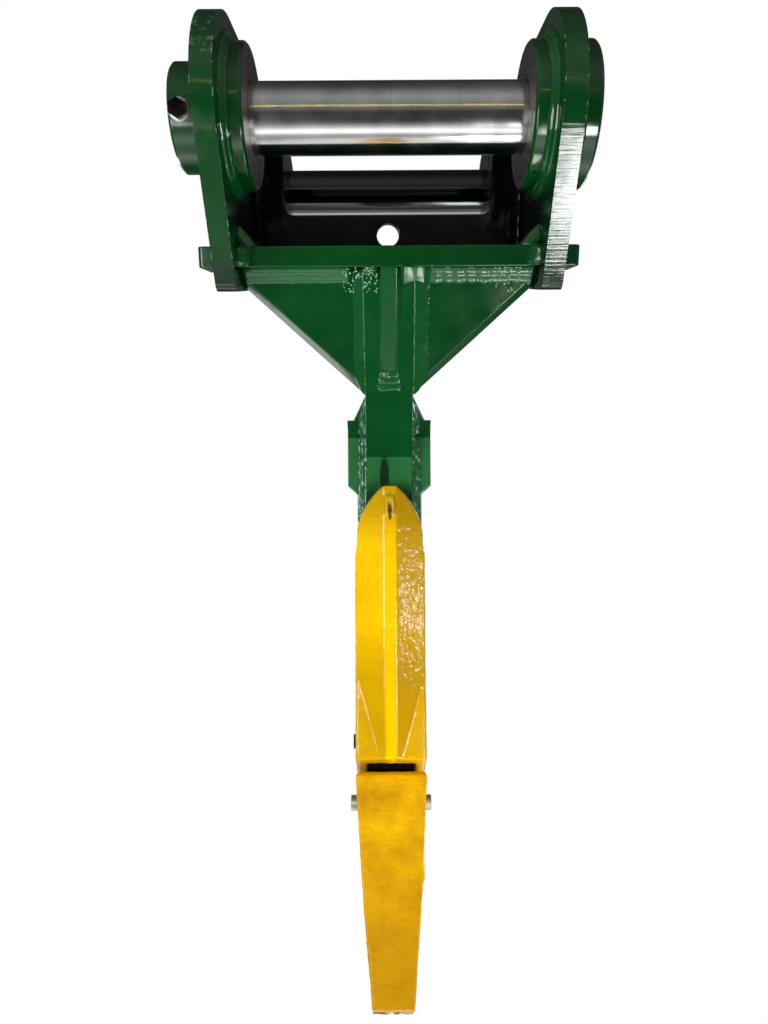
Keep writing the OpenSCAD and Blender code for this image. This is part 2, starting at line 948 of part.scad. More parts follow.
module tooth() {
    color(yellow)
        difference() {
            translate([0, tooth_y, tooth_z])
                rotate([-tooth_lean, 0, 0])
                    intersection() {
                        across(-tooth_w, 2 * tooth_w)
                            tooth_side();
                        backward(-over, tooth_box_h + 2 * over)
                            tooth_plan();
                    }
            nose(nose_fit);
            cross_bar(tooth_pin_yz, tooth_pin_d + keeper_fit, -tooth_w, tooth_w);
            cross_bar(tooth_pin_yz, tooth_pin_d + 2 * keeper_wall + keeper_fit, 0,
                half_t + guard_fit + keeper_t + keeper_fit);
        }
}

module tooth_pin() {
    reach = tooth_w / 2 + tooth_pin_head;
    color(bare_steel)
        cross_bar(tooth_pin_yz, tooth_pin_d, -reach, reach);
}

module tooth_pin_keeper() { keeper(tooth_pin_yz, tooth_pin_d); }

// A round fillet weld on a face at x, around a ring
module weld_ring(x, d, free_side) {
    translate([x, 0, 0])
        rotate([0, 90 * free_side, 0])
            rotate_extrude()
                polygon([[d / 2, 0], [d / 2 + boss_weld, 0], [d / 2, boss_weld]]);
}

module boss_weld_set() {
    weld_ring(-ear_in, boss_d, 1);
    weld_ring(ear_in, boss_d, -1);
    weld_ring(ear_out, boss_d, 1);
    difference() {
        weld_ring(-ear_out, collar_d, -1);
        bolt_seats();
    }
}

module boss_welds() {
    color(green)
        headstock() {
            boss_weld_set();
            at_link_pin()
                boss_weld_set();
        }
}

// A fillet weld along the pin line, in the corner [x, v], reaching sideways and up or down
module seam(x, v, u0, u1, leg, side, rise) {
    translate([0, u1, 0])
        rotate([90, 0, 0])
            linear_extrude(u1 - u0)
                polygon([[x, v], [x - side * leg, v], [x, v + rise * leg]]);
}

module plate_welds() {
    color(green)
        headstock()
            for (side = [-1, 1]) {
                seam(side * ear_in, plate_top_v, plate_front_u, cross_u - plate_weld, plate_weld, side, 1);
                seam(side * ear_in, plate_top_v, cross_u + cross_t, plate_back_u, plate_weld, side, 1);
                translate([0, 0, plate_low_v])
                    linear_extrude(plate_t)
                        polygon([
                            [side * ear_in, plate_front_u],
                            [side * (ear_in - plate_weld), plate_front_u],
                            [side * ear_in, plate_front_u - plate_weld]
                        ]);
            }
}

module tab_welds() {
    color(green)
        headstock()
            for (side = [-1, 1], u = tab_starts) {
                seam(side * ear_out, plate_top_v, u + tab_chamfer, u + tab_len - tab_chamfer, tab_weld, -side, 1);
                seam(side * ear_out, plate_low_v, u + tab_chamfer, u + tab_len - tab_chamfer, tab_weld, -side, -1);
            }
}

module cross_plate_welds() {
    web_half = ear_in - plate_weld;
    color(green)
        headstock() {
            across(-web_half, 2 * web_half)
                polygon([
                    [cross_u, plate_top_v],
                    [cross_u - plate_weld, plate_top_v],
                    [cross_u, plate_top_v + plate_weld]
                ]);
            for (side = [-1, 1])
                translate([0, 0, plate_top_v + plate_weld])
                    linear_extrude(column_top - column_slope - plate_top_v - plate_weld)
                        polygon([
                            [side * ear_in, cross_u],
                            [side * (ear_in - plate_weld), cross_u],
                            [side * ear_in, cross_u - plate_weld]
                        ]);
        }
}

// A fillet weld under the base plate, along X, against a leaning face set back from the shank's front
module under_seam(setback, x0, x1) {
    lean = tan(shank_rake - pin_line_rise);
    intersection() {
        under_plate();
        raked()
            across(x0, x1 - x0)
                polygon([
                    [setback, -gusset_weld],
                    [setback, gusset_weld],
                    [setback - gusset_weld, gusset_weld],
                    [setback - gusset_weld, (gusset_weld - setback) * lean]
                ]);
    }
}

module gusset_welds() {
    inner = half_t + shank_seam;
    color(green)
        for (side = [0, 1])
            mirror([side, 0, 0]) {
                under_seam(gusset_setback, inner, ear_in);
                intersection() {
                    under_plate();
                    raked()
                        difference() {
                            translate([0, 0, -gusset_len])
                                linear_extrude(gusset_len + gusset_setback)
                                    polygon([[half_t, 0], [half_t, gusset_setback], [inner, gusset_setback]]);
                            gusset_bevel(gusset_setback + over, shank_seam);
                        }
                }
            }
}

module rib_welds() {
    edge = rib_t / 2;
    toe = min(rib_weld, rib_proud);
    color(green)
        for (side = [0, 1])
            mirror([side, 0, 0]) {
                under_seam(0, edge + toe, half_t);
                intersection() {
                    under_plate();
                    raked()
                        translate([0, 0, rib_proud - rib_len])
                            linear_extrude(rib_len)
                                polygon([[edge, -toe], [edge, 0], [edge + toe, 0]]);
                    raked()
                        across(edge - over, toe + 2 * over)
                            polygon([[-rib_proud, rib_proud], [0, rib_proud], [0, -rib_len], [-rib_proud, 0]]);
                }
            }
}

module cheek_welds() {
    block_z = -block_end_depth;
    tail_weld = min(cheek_weld, tail_t);
    color(green)
        for (side = [-1, 1]) {
            translate([0, 0, block_z])
                linear_extrude(cheek_bend_z - block_z)
                    polygon([
                        [side * half_t, cheek_y],
                        [side * (half_t + cheek_weld), cheek_y],
                        [side * half_t, cheek_y - cheek_weld]
                    ]);
            translate([0, 0, guard_arch_z])
                linear_extrude(block_z - guard_arch_z)
                    polygon([
                        [side * half_t, cheek_y],
                        [side * (half_t + tail_weld), cheek_y],
                        [side * half_t, cheek_y - tail_weld]
                    ]);
        }
}

left_ear();
right_ear();
left_dipper_boss();
right_dipper_boss();
left_link_boss();
right_link_boss();
dipper_outer_boss();
link_outer_boss();
dipper_collar();
link_collar();
dipper_pin();
link_pin();
dipper_pin_bolt();
link_pin_bolt();
pin_washers();
pin_nuts();
base_plate();
cross_plate();
front_rib();
left_gusset();
right_gusset();
shank();
left_cheek();
right_cheek();
shank_protector();
protector_pin();
protector_pin_keeper();
tooth();
tooth_pin();
tooth_pin_keeper();
boss_welds();
plate_welds();
tab_welds();
cross_plate_welds();
gusset_welds();
rib_welds();
cheek_welds();
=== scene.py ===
# %% [markdown]
# The object is a ripper: a welded green headstock on two bright pins, a thick shank, and a yellow
# protector and tooth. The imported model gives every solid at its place, in metres. The solids already
# have the right shapes, so most of this lesson is about what the eye reads on top of shape: rounded
# edges, weld beads, cast skin, enamel and ground steel.

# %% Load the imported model
import math
import random

import bpy
import bmesh
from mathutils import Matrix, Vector, noise


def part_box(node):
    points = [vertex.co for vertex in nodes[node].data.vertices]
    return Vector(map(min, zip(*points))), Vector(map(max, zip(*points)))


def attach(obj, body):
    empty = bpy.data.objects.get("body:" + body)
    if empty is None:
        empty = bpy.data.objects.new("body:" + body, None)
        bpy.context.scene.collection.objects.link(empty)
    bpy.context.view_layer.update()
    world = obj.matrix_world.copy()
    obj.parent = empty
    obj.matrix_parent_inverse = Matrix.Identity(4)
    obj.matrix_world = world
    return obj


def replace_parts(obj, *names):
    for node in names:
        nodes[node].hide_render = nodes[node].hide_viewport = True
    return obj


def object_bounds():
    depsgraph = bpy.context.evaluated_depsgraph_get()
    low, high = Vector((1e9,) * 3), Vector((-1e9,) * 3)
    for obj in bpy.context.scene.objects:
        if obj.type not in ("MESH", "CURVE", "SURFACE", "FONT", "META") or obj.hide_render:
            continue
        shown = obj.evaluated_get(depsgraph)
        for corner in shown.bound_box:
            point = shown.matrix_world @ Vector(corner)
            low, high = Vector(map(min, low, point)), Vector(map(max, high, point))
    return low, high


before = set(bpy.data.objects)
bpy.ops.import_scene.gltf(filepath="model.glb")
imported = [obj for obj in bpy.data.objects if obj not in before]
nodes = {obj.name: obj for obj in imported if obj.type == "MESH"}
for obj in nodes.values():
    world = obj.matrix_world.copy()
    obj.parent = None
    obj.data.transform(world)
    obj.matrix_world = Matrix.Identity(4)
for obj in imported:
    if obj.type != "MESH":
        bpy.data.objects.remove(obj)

cad_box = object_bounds()
scene = bpy.context.scene
print("nodes in the frame:", len(nodes))

# %% [markdown]
# The headstock lies along the line of its two pins, which rises to the back. It is easiest to think
# in that line's own axes, u along it and v square to it, and to turn the result into the shared frame.
# The shank's front face leans back by another angle, so it gets axes of its own too.

# %% Sizes that the scene needs, in metres
MM = 0.001
RISE = math.radians(13.5)
RAKE = math.radians(25)
PIN_CENTRES = 452 * MM
EAR_IN = 186 * MM
EAR_OUT = 211 * MM
BOSS_R = 80 * MM
COLLAR_R = 60 * MM
PLATE_TOP = -145 * MM
PLATE_LOW = -170 * MM
PLATE_FRONT = -12 * MM
PLATE_BACK = 300 * MM
TAB_STARTS = (-12 * MM, 230 * MM)
TAB_LENGTH = 70 * MM
CROSS_FRONT = 150 * MM
CROSS_BACK = 170 * MM
COLUMN_TOP = 40 * MM
SHANK_FRONT = 39 * MM
HALF_SHANK = 32.5 * MM
HALF_RIB = 10.5 * MM
RIB_END = -134 * MM
GUSSET_BACK = 9 * MM
GUSSET_FOOT = -166 * MM
SHANK_TOP = (PLATE_LOW + SHANK_FRONT * math.sin(RISE)) / math.cos(RISE)
KNEE = -396 * MM
KNEE_Y = SHANK_FRONT + (SHANK_TOP - KNEE) * math.tan(RAKE)
CHEEK_Y = KNEE_Y + 17 * MM
CHEEK_SPAN = (-364 * MM, -524 * MM)
CHEEK_BEND = CHEEK_SPAN[0] - 3 * MM
CHEEK_RAKED = 58 * MM
NOSE_TOP = -822 * MM

X, Y, Z = Vector((1, 0, 0)), Vector((0, 1, 0)), Vector((0, 0, 1))
U = Vector((0, math.cos(RISE), math.sin(RISE)))
V = Vector((0, -math.sin(RISE), math.cos(RISE)))
FACE_BACK = Vector((0, math.cos(RAKE), math.sin(RAKE)))
FACE_UP = Vector((0, -math.sin(RAKE), math.cos(RAKE)))
FACE_TOP = Vector((0, SHANK_FRONT, SHANK_TOP))


def on_headstock(x, u, v):
    return X * x + U * u + V * v


def on_face(x, back, up):
    return FACE_TOP + X * x + FACE_BACK * back + FACE_UP * up


print("the shank's knee lies at depth", round(KNEE_Y / MM, 1), "mm")

# %% [markdown]
# Colours are written as the hex values that a paint chart or a picture editor gives. Those are sRGB,
# and Blender's sockets want linear light, so one function turns the one into the other. A second
# small function adds a node, sets its values and links its inputs in one call: a whole material can
# then be read from top to bottom, from the pattern to the shader.
#
# A worn finish is a base colour with layers over it, such as soil, pale undercoat or bare steel. A layer
# is a mask and a tint, and a Mix node lays it over what is below, so a list of such pairs reads from the
# oldest coat to the newest mark.

# %% Colour and node helpers
def hex_colour(text):
    parts = [int(text[i:i + 2], 16) / 255 for i in (1, 3, 5)]
    linear = [p / 12.92 if p <= 0.04045 else ((p + 0.055) / 1.055) ** 2.4 for p in parts]
    return (*linear, 1)


def set_inputs(tree, node, inputs):
    for name, value in inputs.items():
        if isinstance(value, bpy.types.NodeSocket):
            tree.links.new(value, node.inputs[name])
        else:
            node.inputs[name].default_value = value


def add(tree, kind, inputs=None, **settings):
    made = tree.nodes.new(kind)
    for name, value in settings.items():
        setattr(made, name, value)
    set_inputs(tree, made, inputs or {})
    return made


def set_ramp(ramp, places, tones):
    stops = ramp.color_ramp.elements
    while len(stops) < len(tones):
        stops.new(0.5)
    for stop, place, tone in zip(stops, places, tones):
        stop.position = place
        stop.color = hex_colour(tone) if isinstance(tone, str) else tone
    return ramp.outputs["Color"]


def lay_over(tree, colour, layers):
    for mask, tint in layers:
        colour = add(tree, "ShaderNodeMix", {
            "Factor": mask.outputs[0], 6: colour, 7: hex_colour(tint) if isinstance(tint, str) else tint,
        }, data_type="RGBA").outputs[2]
    return colour


def new_material(name):
    material = bpy.data.materials.new(name)
    material.use_nodes = True
    tree = material.node_tree
    shader = tree.nodes["Principled BSDF"]
    place = add(tree, "ShaderNodeTexCoord").outputs["Object"]
    return material, tree, shader, place


def per_metre(size_mm):
    return 1000 / size_mm


print("mid grey in linear light:", round(hex_colour("#808080")[0], 3))

# %% [markdown]
# Green enamel on mild steel plate is sprayed on in one thick wet coat. The marks on it come first, each
# as a function that gives a mask. Plate edges were cut by flame, and the drag lines of the cut, some
# 2 mm apart, still show through the paint: a noise that is stretched along x gives lines across
# every edge, whichever way the edge turns. Corners lose their paint first. The bevel node rounds
# the normal near an edge, so wherever that normal leaves the true one there is a corner, and a noise
# picks the spots along it where pale undercoat shows. Front faces low on the shank and cheeks are
# painted lighter, as painted light, and beside the protector's point a painted shadow and painted shade
# darken the shank.
#
# The cross plate and the link bosses are black enamel. On the faces that look inwards the green fades
# to black from just in front of the front pin backwards: painted shade between the ears.

# %% Marks, painted light and painted shade on the green enamel
CHIP_REACH = 1.6 * MM
RUB_FADE = 15 * MM
# MARK and MARK_REACH place a painted shadow: the shadow of the protector's ridge on the shank.
MARK = Vector((-7, 147, -422)) * MM
MARK_REACH = Vector((7, 60, 28)) * MM
SHADE_STARTS, SHADE_COVERS = -428 * MM, -454 * MM
SHADE_FADES, SHADE_ENDS = -40 * MM, 30 * MM


def drag_depth(tree, place, on_edge):
    stretched = add(tree, "ShaderNodeVectorMath", {
        0: place, 1: (per_metre(60), per_metre(2.3), per_metre(2.3)),
    }, operation="MULTIPLY")
    lines = add(tree, "ShaderNodeTexNoise", {"Vector": stretched.outputs["Vector"], "Scale": 1, "Detail": 3})
    return add(tree, "ShaderNodeMath", {0: lines.outputs["Fac"], 1: on_edge.outputs["Value"]},
               operation="MULTIPLY")


def corner_chips(tree, geometry, spots, threshold):
    rounded = add(tree, "ShaderNodeBevel", {"Radius": CHIP_REACH}, samples=4)
    same = add(tree, "ShaderNodeVectorMath", {0: rounded.outputs["Normal"], 1: geometry.outputs["Normal"]},
               operation="DOT_PRODUCT")
    corner = add(tree, "ShaderNodeMath", {0: same.outputs["Value"], 1: 0.95}, operation="LESS_THAN")
    picked = add(tree, "ShaderNodeMath", {0: spots.outputs["Fac"], 1: threshold}, operation="GREATER_THAN")
    return add(tree, "ShaderNodeMath", {0: corner.outputs["Value"], 1: picked.outputs["Value"]},
               operation="MULTIPLY")


def rubbed_edge(tree, spot, spots, on_edge, height):
    high = add(tree, "ShaderNodeMapRange", {
        "Value": spot.outputs["Z"], "From Min": height, "From Max": height + RUB_FADE,
        "To Min": 0, "To Max": 0.7,
    })
    wear_and_highlight = add(tree, "ShaderNodeMapRange", {
        "Value": spots.outputs["Fac"], "From Min": 0.52, "From Max": 0.66,
        "To Min": 0, "To Max": high.outputs["Result"],
    })
    return add(tree, "ShaderNodeMath", {0: wear_and_highlight.outputs["Result"], 1: on_edge.outputs["Value"]},
               operation="MULTIPLY")


# Painted light: front faces below a given height are painted lighter.
def painted_light_front(tree, spot, in_front, height):
    below = add(tree, "ShaderNodeMath", {0: spot.outputs["Z"], 1: height}, operation="LESS_THAN")
    return add(tree, "ShaderNodeMath", {0: below.outputs["Value"], 1: in_front.outputs["Value"]},
               operation="MULTIPLY")


def oval_distance(tree, place, centre, reach):
    offset = add(tree, "ShaderNodeVectorMath", {0: place, 1: centre}, operation="SUBTRACT")
    squeezed = add(tree, "ShaderNodeVectorMath", {0: offset.outputs["Vector"], 1: reach}, operation="DIVIDE")
    distance = add(tree, "ShaderNodeVectorMath", {0: squeezed.outputs["Vector"]}, operation="LENGTH")
    return distance.outputs["Value"]


# Painted shadow and painted shade: a dark oval stands for the protector ridge's shadow, and front faces
# darken beside the protector's point.
def shank_painted_shadow(tree, place, spot, in_front):
    mark = add(tree, "ShaderNodeMapRange", {
        "Value": oval_distance(tree, place, MARK, MARK_REACH),
        "From Min": 0.75, "From Max": 1.1, "To Min": 1, "To Max": 0,
    })
    low = add(tree, "ShaderNodeMapRange", {
        "Value": spot.outputs["Z"], "From Min": SHADE_STARTS, "From Max": SHADE_COVERS,
        "To Min": 0, "To Max": in_front.outputs["Value"],
    })
    both = add(tree, "ShaderNodeMath", {0: mark.outputs["Result"], 1: low.outputs["Result"]},
               operation="MAXIMUM")
    return add(tree, "ShaderNodeMath", {0: both.outputs["Value"], 1: 0.85}, operation="MULTIPLY")


# Painted shade: inward-looking faces fade to black with depth between the ears.
def painted_shade_inside(tree, spot, side):
    inward = add(tree, "ShaderNodeMath", {0: side.outputs["X"], 1: spot.outputs["X"]}, operation="MULTIPLY")
    looks_in = add(tree, "ShaderNodeMath", {0: inward.outputs["Value"], 1: 0.02}, operation="LESS_THAN")
    depth = add(tree, "ShaderNodeMapRange", {
        "Value": spot.outputs["Y"], "From Min": SHADE_FADES, "From Max": SHADE_ENDS,
    }, interpolation_type="SMOOTHSTEP")
    return add(tree, "ShaderNodeMath", {0: looks_in.outputs["Value"], 1: depth.outputs["Result"]},
               operation="MULTIPLY")


print("paint chips reach", round(CHIP_REACH / MM, 1), "mm from a corner")

# %% [markdown]
# The coat itself gives the eye a deep green with sharp reflections that waver: a fine orange peel about
# 2.6 mm apart, and slow waves some 30 mm long where the coat ran. One function makes every green piece's
# finish, and its arguments say which marks that piece has. Ring faces and the shank's nose are bare; the
# nose's near-black steel tone is also painted shade in the gap under the protector.

# %% Green enamel on mild steel plate
PLATE_GREENS = ("#013511", "#013b14", "#044419")
# The nose's near-black tones are bare steel and painted shade in the gap under the protector.
TURNED_STEELS = ("#6f6c68", "#9a9692")
SHADED_NOSE_STEELS = ("#0d0a08", "#241d18")


def green_enamel(name, drag_lines=0.0, chips=0.0, tones=PLATE_GREENS, tone_size=120, shade_inside=False,
                 bare_face=False, bare_shaded_below=None, painted_light_below=None, painted_shadow=False, worn_above=None):
    material, tree, shader, place = new_material(name)
    spot = add(tree, "ShaderNodeSeparateXYZ", {"Vector": place})
    geometry = add(tree, "ShaderNodeNewGeometry")
    side = add(tree, "ShaderNodeSeparateXYZ", {"Vector": geometry.outputs["Normal"]})
    across = add(tree, "ShaderNodeMath", {0: side.outputs["X"]}, operation="ABSOLUTE")
    on_edge = add(tree, "ShaderNodeMath", {0: across.outputs["Value"], 1: 0.4}, operation="LESS_THAN")
    in_front = add(tree, "ShaderNodeMath", {0: side.outputs["Y"], 1: -0.5}, operation="LESS_THAN")
    tone = add(tree, "ShaderNodeTexNoise", {"Vector": place, "Scale": per_metre(tone_size), "Detail": 4})
    spots = add(tree, "ShaderNodeTexNoise", {"Vector": place, "Scale": per_metre(9), "Detail": 3})
    peel = add(tree, "ShaderNodeTexNoise", {"Vector": place, "Scale": per_metre(2.6), "Detail": 1})
    waves = add(tree, "ShaderNodeTexNoise", {"Vector": place, "Scale": per_metre(30), "Detail": 2})
    bump = add(tree, "ShaderNodeBump", {"Height": waves.outputs["Fac"], "Strength": 0.12, "Distance": 2 * MM})
    bump = add(tree, "ShaderNodeBump", {
        "Height": peel.outputs["Fac"], "Strength": 0.12, "Distance": 0.1 * MM,
        "Normal": bump.outputs["Normal"],
    })
    rough = add(tree, "ShaderNodeMapRange", {
        "Value": waves.outputs["Fac"], "From Min": 0.3, "From Max": 0.7, "To Min": 0.08, "To Max": 0.18,
    }).outputs["Result"]
    layers = []
    if drag_lines:
        depth = drag_depth(tree, place, on_edge)
        bump = add(tree, "ShaderNodeBump", {
            "Height": depth.outputs["Value"], "Strength": drag_lines, "Distance": 0.6 * MM,
            "Normal": bump.outputs["Normal"],
        })
    # Painted light: lighter green low on the front faces.
    if painted_light_below is not None:
        layers.append((painted_light_front(tree, spot, in_front, painted_light_below), "#256535"))
    if worn_above is not None:
        layers.append((rubbed_edge(tree, spot, spots, on_edge, worn_above), "#55735f"))
    # Painted shadow and painted shade on the shank beside the protector.
    if painted_shadow:
        layers.append((shank_painted_shadow(tree, place, spot, in_front), "#07160c"))
    # Painted shade on the inward faces between the ears.
    if shade_inside:
        layers.append((painted_shade_inside(tree, spot, side), "#05070a"))
    if chips:
        layers.append((corner_chips(tree, geometry, spots, chips), "#93ab98"))
    # Bare steel; below the nose line it is also painted shade, near black.
    if bare_face or bare_shaded_below is not None:
        if bare_face:
            bare = add(tree, "ShaderNodeMath", {0: across.outputs["Value"], 1: 0.95},
                       operation="GREATER_THAN")
        else:
            bare = add(tree, "ShaderNodeMath", {0: spot.outputs["Z"], 1: bare_shaded_below},
                       operation="LESS_THAN")
        steel = add(tree, "ShaderNodeValToRGB", {"Fac": spots.outputs["Fac"]})
        layers.append((bare, set_ramp(steel, (0.3, 0.7), TURNED_STEELS if bare_face else SHADED_NOSE_STEELS)))
        rough = add(tree, "ShaderNodeMath", {0: bare.outputs["Value"], 1: 0.3, 2: rough},
                    operation="MULTIPLY_ADD").outputs["Value"]
        set_inputs(tree, shader, {"Metallic": bare.outputs["Value"]})
    colour = set_ramp(add(tree, "ShaderNodeValToRGB", {"Fac": tone.outputs["Fac"]}), (0.3, 0.55, 0.8), tones)
    set_inputs(tree, shader, {
        "Base Color": lay_over(tree, colour, layers), "Roughness": rough, "IOR": 1.5,
        "Normal": bump.outputs["Normal"],
    })
    return material


RIB_GREENS = ("#08431b", "#0a491e", "#0e5023")
SHANK_GREENS = ("#013c15", "#014318", "#064c1d")
WELD_GREENS = ("#06431b", "#0a4b20", "#0f5425")
# The pale top tone of the rough weld paint is a painted highlight: glints on the cheek seams.
ROUGH_GLINT_GREENS = ("#0c4a22", "#246238", "#a9c4b3")
# Pale tones for the spatter are painted highlights: glints on the drops.
GLINT_GREENS = ("#3f7a52", "#8fb39c", "#c9dccf")
BLACKS = ("#030507", "#05070a", "#080b0e")
plate_enamel = green_enamel("green enamel on mild steel plate", chips=0.66)
left_ear_enamel = green_enamel("green enamel on smooth-cut plate", drag_lines=0.12, chips=0.6,
                               shade_inside=True, worn_above=0)
right_ear_enamel = green_enamel("green enamel on flame-cut plate", drag_lines=0.35, chips=0.6,
                                shade_inside=True)
boss_enamel = green_enamel("green enamel on turned ring", chips=0.66, bare_face=True)
rib_enamel = green_enamel("green enamel on flat bar", tones=RIB_GREENS)
# The shank and cheeks carry painted light: their fronts are painted lighter low down.
shank_enamel = green_enamel("green enamel on shank, bare at the nose", chips=0.66, tones=SHANK_GREENS,
                            bare_shaded_below=NOSE_TOP, painted_light_below=KNEE, painted_shadow=True)
cheek_enamel = green_enamel("green enamel on cheek plate", chips=0.62, tones=SHANK_GREENS,
                            painted_light_below=CHEEK_BEND)
weld_enamel = green_enamel("green enamel on weld bead", tones=WELD_GREENS)
rough_weld_glint_enamel = green_enamel("green enamel on rough weld with painted glints", tones=ROUGH_GLINT_GREENS, tone_size=9)
spatter_glint_enamel = green_enamel("green enamel on spatter with painted glints", tones=GLINT_GREENS, tone_size=4)
black_enamel = green_enamel("black enamel on mild steel", tones=BLACKS)
print("green and black finishes made:", len(bpy.data.materials))

# %% [markdown]
# The two wear parts are steel castings under yellow enamel, and each has marks of its own. On the
# protector, painted shade darkens the pointed cap, the right flank and the flanks beside the ridge near
# the foot, and grime fills the slotted eye. On the tooth, painted shade darkens the paint towards the
# tip and along the top edge, and the paint is worn off at the very end.

# %% Marks and painted shade on the yellow enamel
CAP_LOW, CAP_HIGH = -0.53, -0.46
FOOT_HIGH, FOOT_LOW = -0.62, -0.71
RIDGE_HALF, FLANK_STARTS = 5 * MM, 9 * MM
EYE = Vector((0, 0.11, -0.474))
EYE_REACH = Vector((3, 60, 11)) * MM
# These heights bound painted shade on the tooth: darker towards the tip and at the top edge.
DARK_LOW_STARTS, DARK_LOW_COVERS = -0.86, -1.06
SHELF_LOW, SHELF_HIGH = -0.845, -0.832
TIP = cad_box[0].z


def protector_shade_and_grime(tree, place, patches):
    spot = add(tree, "ShaderNodeSeparateXYZ", {"Vector": place})
    geometry = add(tree, "ShaderNodeNewGeometry")
    side = add(tree, "ShaderNodeSeparateXYZ", {"Vector": geometry.outputs["True Normal"]})
    # Painted shade: faces turned to the right are darkened.
    right = add(tree, "ShaderNodeMapRange", {
        "Value": side.outputs["X"], "From Min": 0.1, "From Max": 0.4, "To Min": 0, "To Max": 0.7,
    })
    flank = add(tree, "ShaderNodeMath", {0: spot.outputs["X"]}, operation="ABSOLUTE")
    off_ridge = add(tree, "ShaderNodeMapRange", {
        "Value": flank.outputs["Value"], "From Min": RIDGE_HALF, "From Max": FLANK_STARTS,
        "To Min": 0, "To Max": 0.5,
    })
    # Painted shade beside the ridge near the foot.
    foot = add(tree, "ShaderNodeMapRange", {
        "Value": spot.outputs["Z"], "From Min": FOOT_HIGH, "From Max": FOOT_LOW,
        "To Min": 0, "To Max": off_ridge.outputs["Result"],
    }, interpolation_type="SMOOTHSTEP")
    # Painted shade on the pointed cap.
    cap = add(tree, "ShaderNodeMapRange", {
        "Value": spot.outputs["Z"], "From Min": CAP_LOW, "From Max": CAP_HIGH, "To Min": 0, "To Max": 0.65,
    }, interpolation_type="SMOOTHSTEP")
    ragged = add(tree, "ShaderNodeMath", {
        0: patches.outputs["Fac"], 1: 2.4, 2: oval_distance(tree, place, EYE, EYE_REACH),
    }, operation="MULTIPLY_ADD")
    grime = add(tree, "ShaderNodeMapRange", {
        "Value": ragged.outputs["Value"], "From Min": 2.0, "From Max": 2.3, "To Min": 0.9, "To Max": 0,
    })
    return [(right, "#a97f00"), (foot, "#a97f00"), (cap, "#a07c00"), (grime, "#33260c")]


def tooth_shade_and_wear(tree, place, patches):
    spot = add(tree, "ShaderNodeSeparateXYZ", {"Vector": place})
    # Painted shade: the tooth darkens towards its tip.
    shaded_low = add(tree, "ShaderNodeMapRange", {
        "Value": spot.outputs["Z"], "From Min": DARK_LOW_STARTS, "From Max": DARK_LOW_COVERS,
        "To Min": 0, "To Max": 0.8,
    }, interpolation_type="SMOOTHSTEP")
    # Painted shade along the tooth's top edge.
    shelf = add(tree, "ShaderNodeMapRange", {
        "Value": spot.outputs["Z"], "From Min": SHELF_LOW, "From Max": SHELF_HIGH, "To Min": 0, "To Max": 0.5,
    })
    ragged = add(tree, "ShaderNodeMath", {0: patches.outputs["Fac"], 1: -30 * MM, 2: spot.outputs["Z"]},
                 operation="MULTIPLY_ADD")
    worn = add(tree, "ShaderNodeMapRange", {
        "Value": ragged.outputs["Value"], "From Min": TIP - 12 * MM, "From Max": TIP - 8 * MM,
        "To Min": 0.85, "To Max": 0,
    })
    return [(shaded_low, "#b98400"), (shelf, "#8f7206"), (worn, "#4a3d1c")]


print("the tooth's tip lies at height", round(TIP / MM), "mm")

# %% [markdown]
# Sand leaves a grainy skin on a casting, a few millimetres from lump to lump, and the yellow enamel
# over it was brushed on from side to side, so streaks of thin and thick paint cross it. The coat has
# dulled, so its mirror share is set lower than that of the fresh green, and lower still on the tooth,
# where the skin is coarser too. The protector keeps a smooth coat, which breaks a light into glints.

# %% Yellow enamel on cast steel
def yellow_enamel(name, tones, patch_size, relief, mirror, smoothest, marks):
    material, tree, shader, place = new_material(name)
    patches = add(tree, "ShaderNodeTexNoise", {"Vector": place, "Scale": per_metre(patch_size), "Detail": 6})
    skin = add(tree, "ShaderNodeTexNoise", {"Vector": place, "Scale": per_metre(3.5), "Detail": 4})
    stroke_at = add(tree, "ShaderNodeVectorMath", {
        0: place, 1: (per_metre(40), per_metre(40), per_metre(2.4)),
    }, operation="MULTIPLY")
    strokes = add(tree, "ShaderNodeTexNoise", {
        "Vector": stroke_at.outputs["Vector"], "Scale": 1, "Detail": 2,
    })
    thin = add(tree, "ShaderNodeMapRange", {
        "Value": strokes.outputs["Fac"], "From Min": 0.48, "From Max": 0.72, "To Min": 0, "To Max": 0.16,
    })
    pits = add(tree, "ShaderNodeMapRange", {
        "Value": skin.outputs["Fac"], "From Min": 0.5, "From Max": 0.75, "To Min": 0, "To Max": 0.28,
    })
    layers = [(thin, "#b98803"), (pits, "#b58600")] + marks(tree, place, patches)
    colour = set_ramp(add(tree, "ShaderNodeValToRGB", {"Fac": patches.outputs["Fac"]}),
                      (0.28, 0.5, 0.72), tones)
    bump = add(tree, "ShaderNodeBump", {
        "Height": skin.outputs["Fac"], "Strength": relief, "Distance": 0.8 * MM,
    })
    bump = add(tree, "ShaderNodeBump", {
        "Height": strokes.outputs["Fac"], "Strength": 0.2, "Distance": 0.4 * MM,
        "Normal": bump.outputs["Normal"],
    })
    rough = add(tree, "ShaderNodeMapRange", {
        "Value": strokes.outputs["Fac"], "From Min": 0.3, "From Max": 0.7,
        "To Min": smoothest, "To Max": 2 * smoothest,
    })
    set_inputs(tree, shader, {
        "Base Color": lay_over(tree, colour, layers), "Roughness": rough.outputs["Result"], "IOR": 1.5,
        "Specular IOR Level": mirror, "Normal": bump.outputs["Normal"],
    })
    return material


